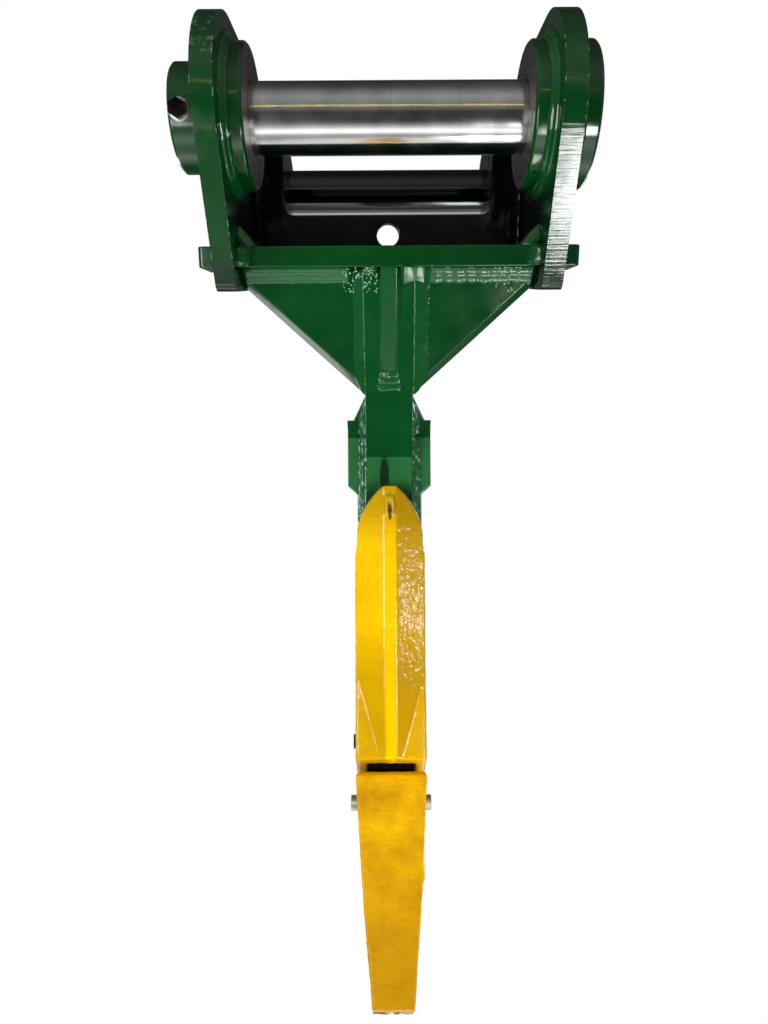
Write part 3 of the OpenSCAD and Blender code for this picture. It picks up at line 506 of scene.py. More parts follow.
GUARD_YELLOWS = ("#f0b800", "#fac400", "#ffcc00")
TOOTH_YELLOWS = ("#cf9400", "#f0b200", "#ffca00")
guard_enamel = yellow_enamel("yellow enamel on cast steel", GUARD_YELLOWS, patch_size=60,
                             relief=0.4, mirror=0.3, smoothest=0.07, marks=protector_shade_and_grime)
tooth_enamel = yellow_enamel("worn yellow enamel on cast steel", TOOTH_YELLOWS, patch_size=34,
                             relief=0.7, mirror=0.15, smoothest=0.13, marks=tooth_shade_and_wear)
print("yellow finishes made")

# %% [markdown]
# The pins are hardened steel, turned and then ground. Grinding leaves rings round the pin that are
# far too fine to see, so they are drawn 1.5 mm apart here, just strong enough to streak a highlight.
# Here and there the stone left a deeper ring, rags and slings left smears, and grease crept out of the
# bosses and darkened the pin's ends.
#
# Bolts, washers and the small pins are plated: a thin even film with a cloudy tone. The rear pin is
# blackened, and a near-white painted highlight runs along its lowest line.

# %% Ground steel and plated steel
GREASE_STARTS, GREASE_COVERS = 178 * MM, 212 * MM


def ground_steel(name):
    material, tree, shader, place = new_material(name)
    spot = add(tree, "ShaderNodeSeparateXYZ", {"Vector": place})
    ring_at = add(tree, "ShaderNodeVectorMath", {0: place, 1: (per_metre(1.5), 6, 6)}, operation="MULTIPLY")
    rings = add(tree, "ShaderNodeTexNoise", {"Vector": ring_at.outputs["Vector"], "Scale": 1, "Detail": 2})
    smears = add(tree, "ShaderNodeTexNoise", {"Vector": place, "Scale": per_metre(45), "Detail": 6})
    deep = add(tree, "ShaderNodeMapRange", {
        "Value": rings.outputs["Fac"], "From Min": 0.66, "From Max": 0.76, "To Min": 0, "To Max": 0.6,
    })
    along = add(tree, "ShaderNodeMath", {0: spot.outputs["X"]}, operation="ABSOLUTE")
    near_end = add(tree, "ShaderNodeMath", {0: smears.outputs["Fac"], 1: 60 * MM, 2: along.outputs["Value"]},
                   operation="MULTIPLY_ADD")
    grease = add(tree, "ShaderNodeMapRange", {
        "Value": near_end.outputs["Value"], "From Min": GREASE_STARTS, "From Max": GREASE_COVERS,
        "To Min": 0, "To Max": 0.6,
    })
    bump = add(tree, "ShaderNodeBump", {
        "Height": rings.outputs["Fac"], "Strength": 0.1, "Distance": 0.1 * MM,
    })
    rough = add(tree, "ShaderNodeMapRange", {
        "Value": smears.outputs["Fac"], "From Min": 0.3, "From Max": 0.7, "To Min": 0.1, "To Max": 0.2,
    })
    colour = set_ramp(add(tree, "ShaderNodeValToRGB", {"Fac": smears.outputs["Fac"]}), (0.3, 0.7),
                      ("#b4b6b5", "#d2d4d2"))
    set_inputs(tree, shader, {
        "Base Color": lay_over(tree, colour, [(deep, "#6e7274"), (grease, "#4b4f50")]), "Metallic": 1,
        "Roughness": rough.outputs["Result"], "Normal": bump.outputs["Normal"],
    })
    return material


def plated_steel(name, tones, smoothest, wear_and_highlight=False):
    material, tree, shader, place = new_material(name)
    film = add(tree, "ShaderNodeTexNoise", {"Vector": place, "Scale": per_metre(9), "Detail": 3})
    rough = add(tree, "ShaderNodeMapRange", {
        "Value": film.outputs["Fac"], "To Min": smoothest, "To Max": smoothest + 0.06,
    })
    layers = []
    # Painted highlight: a near-white band along the lowest line stands for a reflection.
    if wear_and_highlight:
        geometry = add(tree, "ShaderNodeNewGeometry")
        side = add(tree, "ShaderNodeSeparateXYZ", {"Vector": geometry.outputs["Normal"]})
        lowest = add(tree, "ShaderNodeMapRange", {
            "Value": side.outputs["Z"], "From Min": -0.955, "From Max": -0.975, "To Min": 0, "To Max": 1,
        })
        layers.append((lowest, "#f0f2f1"))
    colour = set_ramp(add(tree, "ShaderNodeValToRGB", {"Fac": film.outputs["Fac"]}), (0.35, 0.7), tones)
    set_inputs(tree, shader, {
        "Base Color": lay_over(tree, colour, layers), "Metallic": 1, "Roughness": rough.outputs["Result"],
    })
    return material


pin_steel = ground_steel("ground steel")
bolt_steel = plated_steel("dark plated steel", ("#2c282a", "#48434a"), 0.08)
black_steel = plated_steel("blackened steel", ("#3c4042", "#424648"), 0.08, wear_and_highlight=True)
zinc_steel = plated_steel("zinc plated steel", ("#a8acaa", "#c8ccca"), 0.45)
print("steel finishes made")

# %% [markdown]
# Real plate never has a sharp corner: sawing, grinding and paint round it by a millimetre or two, and
# that small round is what catches the light. A weld modifier first joins the faces of each solid, a
# bevel rounds every edge sharper than 35 degrees, and weighted normals keep the flat faces flat. Each
# row gives a solid's finish and the width of its rounded edges in millimetres.

# %% Finishes and rounded edges on the solids
FINISH = {
    "left_ear": (left_ear_enamel, 1.6), "right_ear": (right_ear_enamel, 1.6),
    "left_dipper_boss": (boss_enamel, 1), "right_dipper_boss": (boss_enamel, 1),
    "left_link_boss": (black_enamel, 1), "right_link_boss": (black_enamel, 1),
    "dipper_outer_boss": (plate_enamel, 1), "link_outer_boss": (plate_enamel, 1),
    "dipper_collar": (plate_enamel, 1), "link_collar": (plate_enamel, 1),
    "dipper_pin": (pin_steel, 0.6), "link_pin": (black_steel, 0.6),
    "dipper_pin_bolt": (bolt_steel, 1), "link_pin_bolt": (bolt_steel, 1),
    "pin_washers": (zinc_steel, 0.4), "pin_nuts": (bolt_steel, 0.6),
    "base_plate": (plate_enamel, 1.5), "cross_plate": (black_enamel, 1.5),
    "front_rib": (rib_enamel, 1.5), "left_gusset": (plate_enamel, 1.5), "right_gusset": (plate_enamel, 1.5),
    "shank": (shank_enamel, 2), "left_cheek": (cheek_enamel, 2), "right_cheek": (cheek_enamel, 2),
    "protector_pin": (bolt_steel, 1.5), "protector_pin_keeper": (bolt_steel, 0.5),
    "tooth_pin": (zinc_steel, 2), "tooth_pin_keeper": (bolt_steel, 0.5),
}


def soften(piece, width):
    join = piece.modifiers.new("join faces", "WELD")
    join.merge_threshold = 0.02 * MM
    edge = piece.modifiers.new("rounded edges", "BEVEL")
    edge.width = width * MM
    edge.segments = 3
    edge.limit_method = "ANGLE"
    edge.angle_limit = math.radians(35)
    edge.miter_outer = "MITER_ARC"
    piece.modifiers.new("flat faces", "WEIGHTED_NORMAL")


for name, (material, width) in FINISH.items():
    solid = nodes[name]
    solid.data.materials.clear()
    solid.data.materials.append(material)
    soften(solid, width)
print("solids finished:", len(FINISH))

# %% [markdown]
# A weld bead is metal that froze one small pool after another. Each pool leaves a curved ripple, a
# heavy seam is built from two or three passes side by side, and the toes waver because a hand held
# the torch. Bump alone can't show that on the outline, so the bead is swept as a mesh: at each
# station along the seam a fan of points runs from one toe, over the crown, to the other. Ripples bow
# ahead in the middle of each pass, because the middle of a pool freezes last. The hand's own noises run
# along the seam: how strong the ripples are, how far the torch has drifted and where the toes lie.

# %% A rippled weld bead
STATION = 1 * MM
RIPPLE = 4.5 * MM
AS_LAID = 0.8 * MM
DRESSED = 0.25 * MM
SINK = 0.4 * MM
ACROSS = 12
BOW = 0.55
WAVER = 0.1
STRENGTH_MM, DRIFT_MM, TOE_MM, STREAK_MM, GRAIN_MM = 30, 40, 11, 14, 4.5


def noise_at(place, size_mm):
    return noise.noise(place * per_metre(size_mm))


def bead_ring(shape, root, toe_a, toe_b, out, run, passes, ripple, even, crown):
    crown *= math.sqrt(toe_a.length * toe_b.length)
    ripple *= 0.3 + abs(1.6 * noise_at(root, STRENGTH_MM))
    drift = 1.5 * noise_at(root, DRIFT_MM)
    toe_a = toe_a * (1 + WAVER * noise_at(root, TOE_MM))
    toe_b = toe_b * (1 + WAVER * noise.noise(root * per_metre(TOE_MM) + X))
    ring = []
    for i in range(ACROSS + 1):
        f = i / ACROSS
        place = root + toe_a * (1 - f) + toe_b * f
        lobe = abs(math.sin(math.pi * passes * f)) ** 0.7
        pool = (run / RIPPLE + BOW * lobe + drift) % 1
        streak = noise.noise(Vector((run * per_metre(STREAK_MM), 3.5 * passes * f, root.x * per_metre(60))))
        lift = crown * lobe * 0.6
        lift += ripple * even * (1 - pool) * lobe * f
        lift += 1.3 * ripple * (1 - even) * streak
        lift += 0.5 * ripple * noise_at(place, GRAIN_MM)
        lift *= min(1, 6 * f, 6 - 6 * f)
        ring.append(shape.verts.new(place + out * (lift - SINK)))
    ring.append(shape.verts.new(root - out * SINK))
    return ring


print("ripples in 100 mm of bead:", round(100 * MM / RIPPLE))

# %% [markdown]
# A seam is a track: a list of stations, each with its root and its two toes. Neighbouring stations are
# joined by rings of faces. A seam that ends is drawn in over its last millimetres, as a torch is lifted,
# and a closed one runs into itself.

# %% Seams and finished pieces
def lay_bead(shape, track, passes=1, closed=False, out=None, ripple=AS_LAID, even=0.2, crown=0.2):
    rings, run = [], 0
    total = sum((b[0] - a[0]).length for a, b in zip(track, track[1:]))
    for i, (root, toe_a, toe_b) in enumerate(track):
        run += (root - track[i - 1][0]).length if i else 0
        full = 1 if closed else min(1, (min(run, total - run) + 3 * MM) / (8 * MM)) ** 0.5
        away = out or (toe_a.normalized() + toe_b.normalized()).normalized()
        rings.append(bead_ring(shape, root, toe_a * full, toe_b * full, away, run,
                               passes, ripple, even, crown))
    pairs = list(zip(rings, rings[1:] + rings[:1])) if closed else list(zip(rings, rings[1:]))
    for one, two in pairs:
        for k in range(len(one)):
            n = (k + 1) % len(one)
            shape.faces.new((one[k], one[n], two[n], two[k]))
    if not closed:
        shape.faces.new(rings[0])
        shape.faces.new(rings[-1])


def straight(start, end, toe_a, toe_b):
    count = max(3, round((end - start).length / STATION))
    return [(start.lerp(end, i / count), toe_a, toe_b) for i in range(count + 1)]


def round_seam(centre, radius, out, leg):
    count = round(2 * math.pi * radius / STATION)
    track = []
    for i in range(count):
        turn = 2 * math.pi * i / count
        ray = Y * math.cos(turn) + Z * math.sin(turn)
        track.append((centre + ray * radius, ray * leg(turn), out * leg(turn)))
    return track


def finish_piece(name, shape, material):
    bmesh.ops.recalc_face_normals(shape, faces=shape.faces)
    mesh = bpy.data.meshes.new(name)
    shape.to_mesh(mesh)
    shape.free()
    mesh.polygons.foreach_set("use_smooth", [True] * len(mesh.polygons))
    mesh.materials.append(material)
    piece = bpy.data.objects.new(name, mesh)
    scene.collection.objects.link(piece)
    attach(piece, "root")
    print(name, len(mesh.polygons), "faces")
    return piece


print("stations in 100 mm of seam:", round(100 * MM / STATION))

# %% [markdown]
# The bosses and collars are welded to the ears all round, with two passes. Beside the collars the
# retaining bolts need room for their heads, so there the bead thins out.

# %% Welds round the bosses and collars
BOSS_LEG = 10 * MM
COLLAR_LEG, LEG_BESIDE_BOLT = 9 * MM, 2.5 * MM


def full_leg(turn):
    return BOSS_LEG


def collar_leg(turn):
    beside_bolt = abs(math.cos(turn - RISE)) > 0.93
    return LEG_BESIDE_BOLT if beside_bolt else COLLAR_LEG


shape = bmesh.new()
for u in (0, PIN_CENTRES):
    for x, radius, out, leg in ((-EAR_IN, BOSS_R, X, full_leg), (EAR_IN, BOSS_R, -X, full_leg),
                                (EAR_OUT, BOSS_R, X, full_leg), (-EAR_OUT, COLLAR_R, -X, collar_leg)):
        track = round_seam(on_headstock(x, u, 0), radius, out, leg)
        lay_bead(shape, track, passes=2, closed=True, ripple=DRESSED)
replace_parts(finish_piece("boss_weld_beads", shape, weld_enamel), "boss_welds")

# %% [markdown]
# The base plate sits between the ears and pokes through them as tabs. Heavy corner beads hold it
# from above, short ones at the front, and the tabs are welded from outside. The cross plate stands on
# the base plate and its two columns run up the ears.

# %% Welds of the headstock's plates
PLATE_LEG = 12 * MM
CORNER_LENGTH, CORNER_ACROSS, CORNER_UP = 60 * MM, 22 * MM, 26 * MM
FRONT_ACROSS, FRONT_OUT = 15 * MM, 13 * MM
TAB_LEG, TAB_MARGIN = 8 * MM, 4 * MM

shape = bmesh.new()
for side in (-1, 1):
    for start, end in ((PLATE_FRONT, CROSS_FRONT - PLATE_LEG), (CROSS_BACK, PLATE_BACK)):
        lay_bead(shape, straight(on_headstock(side * EAR_IN, start, PLATE_TOP),
                                 on_headstock(side * EAR_IN, end, PLATE_TOP),
                                 X * -side * PLATE_LEG, V * PLATE_LEG), passes=2)
    lay_bead(shape, straight(on_headstock(side * EAR_IN, PLATE_FRONT, PLATE_TOP),
                             on_headstock(side * EAR_IN, PLATE_FRONT + CORNER_LENGTH, PLATE_TOP),
                             X * -side * CORNER_ACROSS, V * CORNER_UP), ripple=DRESSED, crown=0.05)
    lay_bead(shape, straight(on_headstock(side * EAR_IN, PLATE_FRONT, PLATE_LOW),
                             on_headstock(side * EAR_IN, PLATE_FRONT, PLATE_TOP),
                             X * -side * FRONT_ACROSS, U * -FRONT_OUT))
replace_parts(finish_piece("plate_weld_beads", shape, weld_enamel), "plate_welds")

shape = bmesh.new()
for side in (-1, 1):
    for start in TAB_STARTS:
        for v, way in ((PLATE_TOP, 1), (PLATE_LOW, -1)):
            lay_bead(shape, straight(on_headstock(side * EAR_OUT, start + TAB_MARGIN, v),
                                     on_headstock(side * EAR_OUT, start + TAB_LENGTH - TAB_MARGIN, v),
                                     X * side * TAB_LEG, V * way * TAB_LEG))
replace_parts(finish_piece("tab_weld_beads", shape, weld_enamel), "tab_welds")

shape = bmesh.new()
lay_bead(shape, straight(on_headstock(PLATE_LEG - EAR_IN, CROSS_FRONT, PLATE_TOP),
                         on_headstock(EAR_IN - PLATE_LEG, CROSS_FRONT, PLATE_TOP),
                         U * -PLATE_LEG, V * PLATE_LEG), passes=2)
for side in (-1, 1):
    lay_bead(shape, straight(on_headstock(side * EAR_IN, CROSS_FRONT, PLATE_TOP + PLATE_LEG),
                             on_headstock(side * EAR_IN, CROSS_FRONT, COLUMN_TOP),
                             X * -side * PLATE_LEG, U * -PLATE_LEG), ripple=DRESSED, crown=0.03)
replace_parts(finish_piece("cross_plate_weld_beads", shape, black_enamel), "cross_plate_welds")

# %% [markdown]
# Under the base plate two gussets stiffen the shank. Heavy seams run along the plate, and wide dressed
# ones run down the shank and narrow towards the gusset's foot.

# %% Welds of the gussets
GUSSET_SEAM_START = 48.5 * MM
GUSSET_OUT, GUSSET_DOWN = 13 * MM, 20 * MM
LEFT_WIDTH, RIGHT_WIDTH = 16 * MM, 21 * MM
SHANK_SEAM_TOP = -2 * MM
FOOT_TAPER = 40 * MM


def under_plate(x, back):
    return FACE_TOP + X * x + U * (back / math.cos(RAKE - RISE))


shape = bmesh.new()
for side, ripple, even, width in ((-1, DRESSED, 0.2, LEFT_WIDTH), (1, AS_LAID, 0.9, RIGHT_WIDTH)):
    lay_bead(shape, straight(under_plate(side * GUSSET_SEAM_START, GUSSET_BACK),
                             under_plate(side * EAR_IN, GUSSET_BACK),
                             U * -GUSSET_OUT, FACE_UP * -GUSSET_DOWN), passes=2, ripple=ripple, even=even)
    top = on_face(side * HALF_SHANK, GUSSET_BACK, SHANK_SEAM_TOP)
    foot = on_face(side * HALF_SHANK, GUSSET_BACK, GUSSET_FOOT)
    track = [(root, toe_a, toe_b * min(1, 0.3 + (root - foot).length / FOOT_TAPER))
             for root, toe_a, toe_b in straight(top, foot, FACE_BACK * -GUSSET_BACK, X * side * width)]
    lay_bead(shape, track, ripple=DRESSED, crown=0.03)
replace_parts(finish_piece("gusset_weld_beads", shape, weld_enamel), "gusset_welds")

# %% [markdown]
# The flat rib on the shank's face has small beads down its sides and a stack of three short ones across
# its foot, each a little longer and flatter than the one above. Where the rib meets the base plate, a
# seam runs to the left, and a fan-shaped fillet to the right.

# %% Welds of the rib
RIB_SEAM_START = 14.5 * MM
RIB_LEG, RIB_SEAM_TOP = 4 * MM, -10 * MM
FAN_END, FAN_OUT, FAN_DOWN = 50 * MM, 15 * MM, 22 * MM
STACK_START, STACK_PITCH, STACK_LEG = 2 * MM, 9 * MM, 7 * MM
STACK_REACH, STACK_GROWTH = 14 * MM, 1 * MM
STACK_HEIGHT, STACK_LOSS = 2.8, 0.5

shape = bmesh.new()
for side in (-1, 1):
    if side < 0:
        lay_bead(shape, straight(under_plate(-RIB_SEAM_START, 0), under_plate(-HALF_SHANK, 0),
                                 U * -PLATE_LEG, FACE_UP * -PLATE_LEG), passes=2)
    else:
        lay_bead(shape, straight(under_plate(RIB_SEAM_START, 0), under_plate(FAN_END, GUSSET_BACK),
                                 U * -FAN_OUT, FACE_UP * -FAN_DOWN), ripple=DRESSED, crown=0.05)
    lay_bead(shape, straight(on_face(side * HALF_RIB, 0, RIB_SEAM_TOP), on_face(side * HALF_RIB, 0, RIB_END),
                             FACE_BACK * -RIB_LEG, X * side * RIB_LEG), ripple=DRESSED, crown=0.05)
for step in range(3):
    up = RIB_END - (STACK_START + STACK_PITCH * step)
    reach = STACK_REACH + STACK_GROWTH * step
    lay_bead(shape, straight(on_face(-reach, 0, up), on_face(reach, 0, up),
                             FACE_UP * STACK_LEG, FACE_UP * -STACK_LEG),
             out=FACE_BACK * -(STACK_HEIGHT - STACK_LOSS * step), even=0.4)
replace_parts(finish_piece("rib_weld_beads", shape, weld_enamel), "rib_welds")

# %% [markdown]
# The cheek plates carry the roughest seams: three coarse passes down their upright front edges, and two
# up the raked part above the bend, which taper off towards the top. The pale spots in their paint are
# painted glints.

# %% Welds of the cheeks
CHEEK_LEG, RAKED_LEG = 13 * MM, 12 * MM
COARSE = 1.4 * MM
TOP_TAPER = 34 * MM

shape = bmesh.new()
for side in (-1, 1):
    bend = Vector((side * HALF_SHANK, CHEEK_Y, CHEEK_SPAN[0]))
    foot = Vector((side * HALF_SHANK, CHEEK_Y, CHEEK_SPAN[1]))
    lay_bead(shape, straight(bend, foot, Y * -CHEEK_LEG, X * side * CHEEK_LEG),
             passes=3, ripple=COARSE, even=0.1)
    top = bend + FACE_UP * CHEEK_RAKED
    track = [(root, toe_a, toe_b * min(1, 0.1 + (top - root).length / TOP_TAPER))
             for root, toe_a, toe_b in straight(bend, top, FACE_BACK * -RAKED_LEG, X * side * RAKED_LEG)]
    lay_bead(shape, track, passes=2, ripple=COARSE, even=0.1)
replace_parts(finish_piece("cheek_weld_beads", shape, rough_weld_glint_enamel), "cheek_welds")

# %% [markdown]
# A torch throws drops of steel beside the seam, and they freeze where they land. A seeded random
# choice strews them over the two places where the seams under the base plate were laid hottest. Each
# place has its two ends along x, in millimetres, and its number of drops.

# %% Spatter
HOT_PLACES = ((-58, -15, 90), (135, 184, 60))
DROP_RADII = (0.6, 1.4)

random.seed(5)
shape = bmesh.new()
for near, far, count in HOT_PLACES:
    for drop in range(count):
        x = random.uniform(near, far) * MM
        f = random.uniform(0, 1.5)
        seam = under_plate(x, 0 if abs(x) < HALF_SHANK else GUSSET_BACK)
        place = seam + U * -GUSSET_OUT * max(0, 1 - f) + FACE_UP * -GUSSET_DOWN * f
        made = bmesh.ops.create_icosphere(shape, subdivisions=2, radius=random.uniform(*DROP_RADII) * MM)
        bmesh.ops.translate(shape, verts=made["verts"], vec=place - FACE_BACK * random.uniform(0, 1.5) * MM)
# The drops are painted pale, as painted glints.
finish_piece("weld_spatter", shape, spatter_glint_enamel)

# %% [markdown]
# Round each bolt head the paint was scraped off while the bolt was tightened. A narrow bright ring
# stands for that. The bolts are tilted against the headstock's line, so the ring has axes of its own.

# %% Bolt rings
BOLT_X = -236.5 * MM
BOLT_SEAT = 58 * MM
RING_R, RING_WIDTH, RING_HEIGHT = 11.8 * MM, 2 * MM, 2.2 * MM
RING_STATIONS = 72
TILT = RISE + math.radians(5)
OUT = Vector((0, -math.cos(TILT), -math.sin(TILT)))
SQUARE = Vector((0, -math.sin(TILT), math.cos(TILT)))

shape = bmesh.new()
for u in (0, PIN_CENTRES):
    track = []
    for i in range(RING_STATIONS):
        turn = 2 * math.pi * i / RING_STATIONS
        ray = X * math.cos(turn) + SQUARE * math.sin(turn)
        root = X * BOLT_X + U * u + OUT * BOLT_SEAT + ray * RING_R
        track.append((root, ray * RING_WIDTH, OUT * RING_HEIGHT))
    lay_bead(shape, track, closed=True, ripple=DRESSED)
finish_piece("bolt_rings", shape, zinc_steel)

# %% [markdown]
# A sand casting has no sharp edge and no quite flat face. Remeshing the solid into small even
# quads and smoothing them rounds every edge the way a mould does, also the inner ones, and then each
# point can be moved a little along its normal by noises of several sizes, given here as pairs of height
# and length in millimetres.

# %% A casting's shape
SAND = ((0.4, 24), (0.3, 7), (0.25, 4))


def cast_copy(name, node, material, voxel, rounds, shift):
    rough_cast = bpy.data.objects.new(name, nodes[node].data.copy())
    scene.collection.objects.link(rough_cast)
    remesh = rough_cast.modifiers.new("even quads", "REMESH")
    remesh.mode = "VOXEL"
    remesh.voxel_size = voxel
    smooth = rough_cast.modifiers.new("mould radius", "SMOOTH")
    smooth.factor = 0.5
    smooth.iterations = rounds
    mesh = bpy.data.meshes.new_from_object(rough_cast.evaluated_get(bpy.context.evaluated_depsgraph_get()))
    bpy.data.objects.remove(rough_cast)
    shape = bmesh.new()
    shape.from_mesh(mesh)
    shape.normal_update()
    for point, move in [(p, shift(p.co, p.normal)) for p in shape.verts]:
        point.co += move
    piece = finish_piece(name, shape, material)
    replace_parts(piece, node)
    return piece


def sand_skin(place, normal):
    return normal * sum(height * noise_at(place, length) for height, length in SAND) * MM


print("sand moves a face by at most", sum(height for height, length in SAND), "mm")

# %% [markdown]
# The tooth is the coarser casting. Below the middle its skin is wrinkled, a lump stands on its right
# side, and its tip is chipped: a noise, with everything below a threshold cut off, takes small bites
# out of the last edge.

# %% Castings
tooth_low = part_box("tooth")[0]
WRINKLES_START, WRINKLES_FULL = -0.95, -1.01
WRINKLE_HEIGHT = 1.1 * MM
LUMP_PLACE, LUMP_HALF, LUMP_HEIGHT = -0.947, 9 * MM, 2.2 * MM
CHIPPED, BITE_DEPTH = 16 * MM, 14 * MM


def tooth_skin(place, normal):
    move = sand_skin(place, normal)
    below = max(0, min(1, (WRINKLES_START - place.z) / (WRINKLES_START - WRINKLES_FULL)))
    wrinkle = noise.noise(Vector((place.x * per_metre(16), place.y * per_metre(16), place.z * per_metre(5))))
    move += normal * WRINKLE_HEIGHT * below * max(0, wrinkle)
    lump = math.exp(-((place.z - LUMP_PLACE) / LUMP_HALF) ** 2) * max(0, normal.x)
    move += X * LUMP_HEIGHT * lump
    near_tip = max(0, 1 - (place.z - tooth_low.z) / CHIPPED)
    bite = max(0, noise_at(place, 7) - 0.05) + 0.6 * max(0, noise_at(place, 3))
    return move + Z * BITE_DEPTH * bite * near_tip


cast_copy("cast_protector", "shank_protector", guard_enamel, 2 * MM, 7, sand_skin)
cast_copy("cast_tooth", "tooth", tooth_enamel, 1.8 * MM, 5, tooth_skin)

# %% [markdown]
# The photograph was taken with a short lens, level with the middle of the shank. A lens of 25 mm on a
# frame 36 mm high gives the same view, from 0.86 m in front of the dipper pin.

# %% Camera
SENSOR = 36
LENS_PIXELS, FRAME_PIXELS = 710, 1024
VIEWPOINT = (-0.008, -0.855, -0.4735)
TIPPED = math.radians(0.35)

camera_data = bpy.data.cameras.new("camera")
camera_data.sensor_fit = "VERTICAL"
camera_data.sensor_height = SENSOR
camera_data.sensor_width = SENSOR
camera_data.lens = SENSOR * LENS_PIXELS / FRAME_PIXELS
camera = bpy.data.objects.new("camera", camera_data)
camera.location = VIEWPOINT
camera.rotation_euler = (math.radians(90), TIPPED, 0)
scene.collection.objects.link(camera)
scene.camera = camera
print("lens", round(camera_data.lens, 2), "mm")

# %% [markdown]
# The stage is a pale painted floor that fades out into a white surround, so no horizon crosses the
# picture. A disc does for the floor: its shader is mixed with a transparent one by the distance from
# the disc's middle.

# %% Floor
FLOOR_R = 3
FADE_STARTS, FADE_ENDS = 0.06, 0.4

floor_mesh = bpy.data.meshes.new("floor")
shape = bmesh.new()
bmesh.ops.create_circle(shape, cap_ends=True, radius=FLOOR_R, segments=96)
shape.to_mesh(floor_mesh)
shape.free()
floor = bpy.data.objects.new("floor", floor_mesh)
floor.location = (0, 0.2, cad_box[0].z - 1 * MM)
scene.collection.objects.link(floor)

pale, tree, shader, place = new_material("pale painted floor")
distance = add(tree, "ShaderNodeVectorMath", {0: place}, operation="LENGTH")
fade = add(tree, "ShaderNodeMapRange", {
    "Value": distance.outputs["Value"], "From Min": FADE_STARTS, "From Max": FADE_ENDS,
    "To Min": 1, "To Max": 0,
}, interpolation_type="SMOOTHSTEP")
set_inputs(tree, shader, {
    "Base Color": hex_colour("#f8f8f6"), "Roughness": 0.7,
    "Emission Color": (1, 1, 1, 1), "Emission Strength": 0.68,
})
clear = add(tree, "ShaderNodeBsdfTransparent")
both = add(tree, "ShaderNodeMixShader", {
    "Fac": fade.outputs["Result"], 1: clear.outputs[0], 2: shader.outputs[0],
})
set_inputs(tree, tree.nodes["Material Output"], {"Surface": both.outputs[0]})
floor_mesh.materials.append(pale)
print("floor at height", round(floor.location.z, 3), "m")

# %% [markdown]
# The bright pins work as mirrors: the bands along them say where the light came from. Most of it rose
# from a pale floor in front, steeply below the pins. A dim ceiling closes the top and the horizon is
# dark. So the surround is a ramp over the height of a direction, given in degrees with its light, and
# it dims behind and above the object.

# %% Surround
ROOM = ((-90, 0.4), (-78, 0.55), (-66, 2.3), (-57, 1.3), (-51, 0.65), (-45, 0.32), (-41, 0.18), (-37, 0.07),
        (-7, 0.06), (2, 0.2), (12, 0.2), (29, 0.38), (42, 0.42), (60, 0.25), (75, 0.12), (90, 0.07))
BRIGHTEST = max(light for height, light in ROOM)

world = bpy.data.worlds.new("pale room")
world.use_nodes = True
scene.world = world
tree = world.node_tree
way = add(tree, "ShaderNodeSeparateXYZ", {"Vector": add(tree, "ShaderNodeTexCoord").outputs["Generated"]})
rise = add(tree, "ShaderNodeMapRange", {"Value": way.outputs["Z"], "From Min": -1, "From Max": 1})
bands = set_ramp(add(tree, "ShaderNodeValToRGB", {"Fac": rise.outputs["Result"]}),
                 [(math.sin(math.radians(height)) + 1) / 2 for height, light in ROOM],
                 [(*[light / BRIGHTEST] * 3, 1) for height, light in ROOM])
up = add(tree, "ShaderNodeMapRange", {"Value": way.outputs["Z"], "From Min": 0, "From Max": 0.25})
behind = add(tree, "ShaderNodeMapRange", {
    "Value": way.outputs["Y"], "From Min": 0, "From Max": 0.4, "To Max": 0.85,
})
loss = add(tree, "ShaderNodeMath", {0: up.outputs["Result"], 1: behind.outputs["Result"]},
           operation="MULTIPLY")
light = add(tree, "ShaderNodeMath", {0: loss.outputs["Value"], 1: -BRIGHTEST, 2: BRIGHTEST},
            operation="MULTIPLY_ADD")
room = add(tree, "ShaderNodeBackground", {"Color": bands, "Strength": light.outputs["Value"]})
seen = add(tree, "ShaderNodeBackground", {"Color": (1, 1, 1, 1), "Strength": 1})
path = add(tree, "ShaderNodeLightPath")
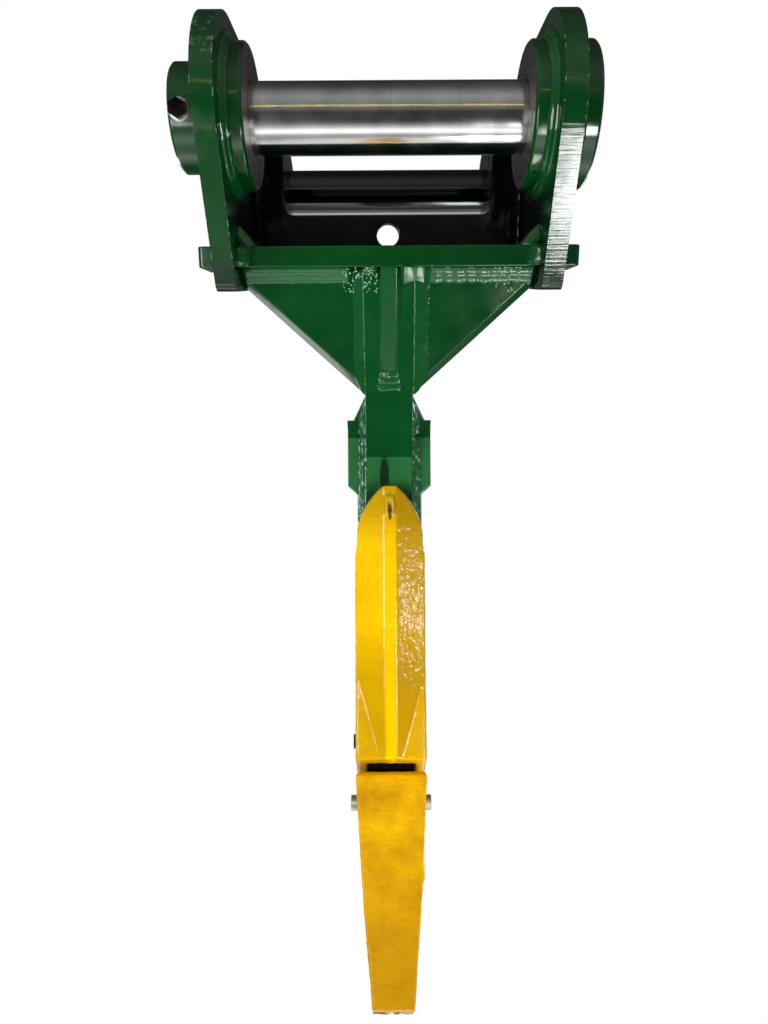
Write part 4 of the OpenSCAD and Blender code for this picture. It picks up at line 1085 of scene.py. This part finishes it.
mix = add(tree, "ShaderNodeMixShader", {
    "Fac": path.outputs["Is Camera Ray"], 1: room.outputs[0], 2: seen.outputs[0],
})
set_inputs(tree, tree.nodes["World Output"], {"Surface": mix.outputs[0]})
print("bands in the surround:", len(ROOM))

# %% [markdown]
# Soft panels stand where single faces need a glint. The wide panel on the left lights the yellow parts.
# A strip low on the right puts the white shine on the right ear's edge, a small panel far right the
# glints on the protector's right flank, and one on the floor those on the seam under the plate. A panel
# low on the left picks out the gusset's bevel, a warm tube draws the yellow line along the front pin,
# and two panels behind light the back. Each row gives a panel's place, aim, width, height and watts.

# %% Lights
PANELS = {
    "wide panel on the left": ((-0.8, -0.95, -0.55), (0, 0.15, -0.4), 0.6, 0.7, 13.5),
    "strip on the right": ((0.53, -0.87, -0.95), (0.2, -0.06, -0.11), 0.18, 0.28, 5),
    "panel far right": ((1.6, -0.45, -0.83), (0, 0.2, -0.6), 0.14, 0.1, 3.2),
    "panel on the floor": ((0.28, 0.02, -1.05), (0.13, 0.04, -0.14), 0.28, 0.18, 1.8),
    "panel low on the left": ((-0.75, 0.45, -0.9), (-0.1, 0.08, -0.25), 0.3, 0.3, 1.2),
    "panel behind, right": ((1.5, 1.9, -0.3), (0, 0.2, -0.4), 0.9, 0.9, 14),
    "panel behind, left": ((-1.5, 1.9, -0.3), (0, 0.2, -0.4), 0.9, 0.9, 14),
    "warm tube above the camera": ((0, -1.5, 0.292), (0, 0, 0), 1.2, 0.02, 0.5),
}
WARM = "#ffdf70"

for name, (place, aim, width, height, watts) in PANELS.items():
    lamp = bpy.data.lights.new(name, "AREA")
    lamp.shape = "RECTANGLE"
    lamp.size = width
    lamp.size_y = height
    lamp.energy = watts
    lamp.color = hex_colour(WARM if "warm" in name else "#ffffff")[:3]
    panel = bpy.data.objects.new(name, lamp)
    panel.location = place
    panel.rotation_euler = (Vector(aim) - Vector(place)).to_track_quat("-Z", "Y").to_euler()
    panel.visible_camera = False
    scene.collection.objects.link(panel)
scene.view_settings.view_transform = "Standard"
print("panels:", len(PANELS))
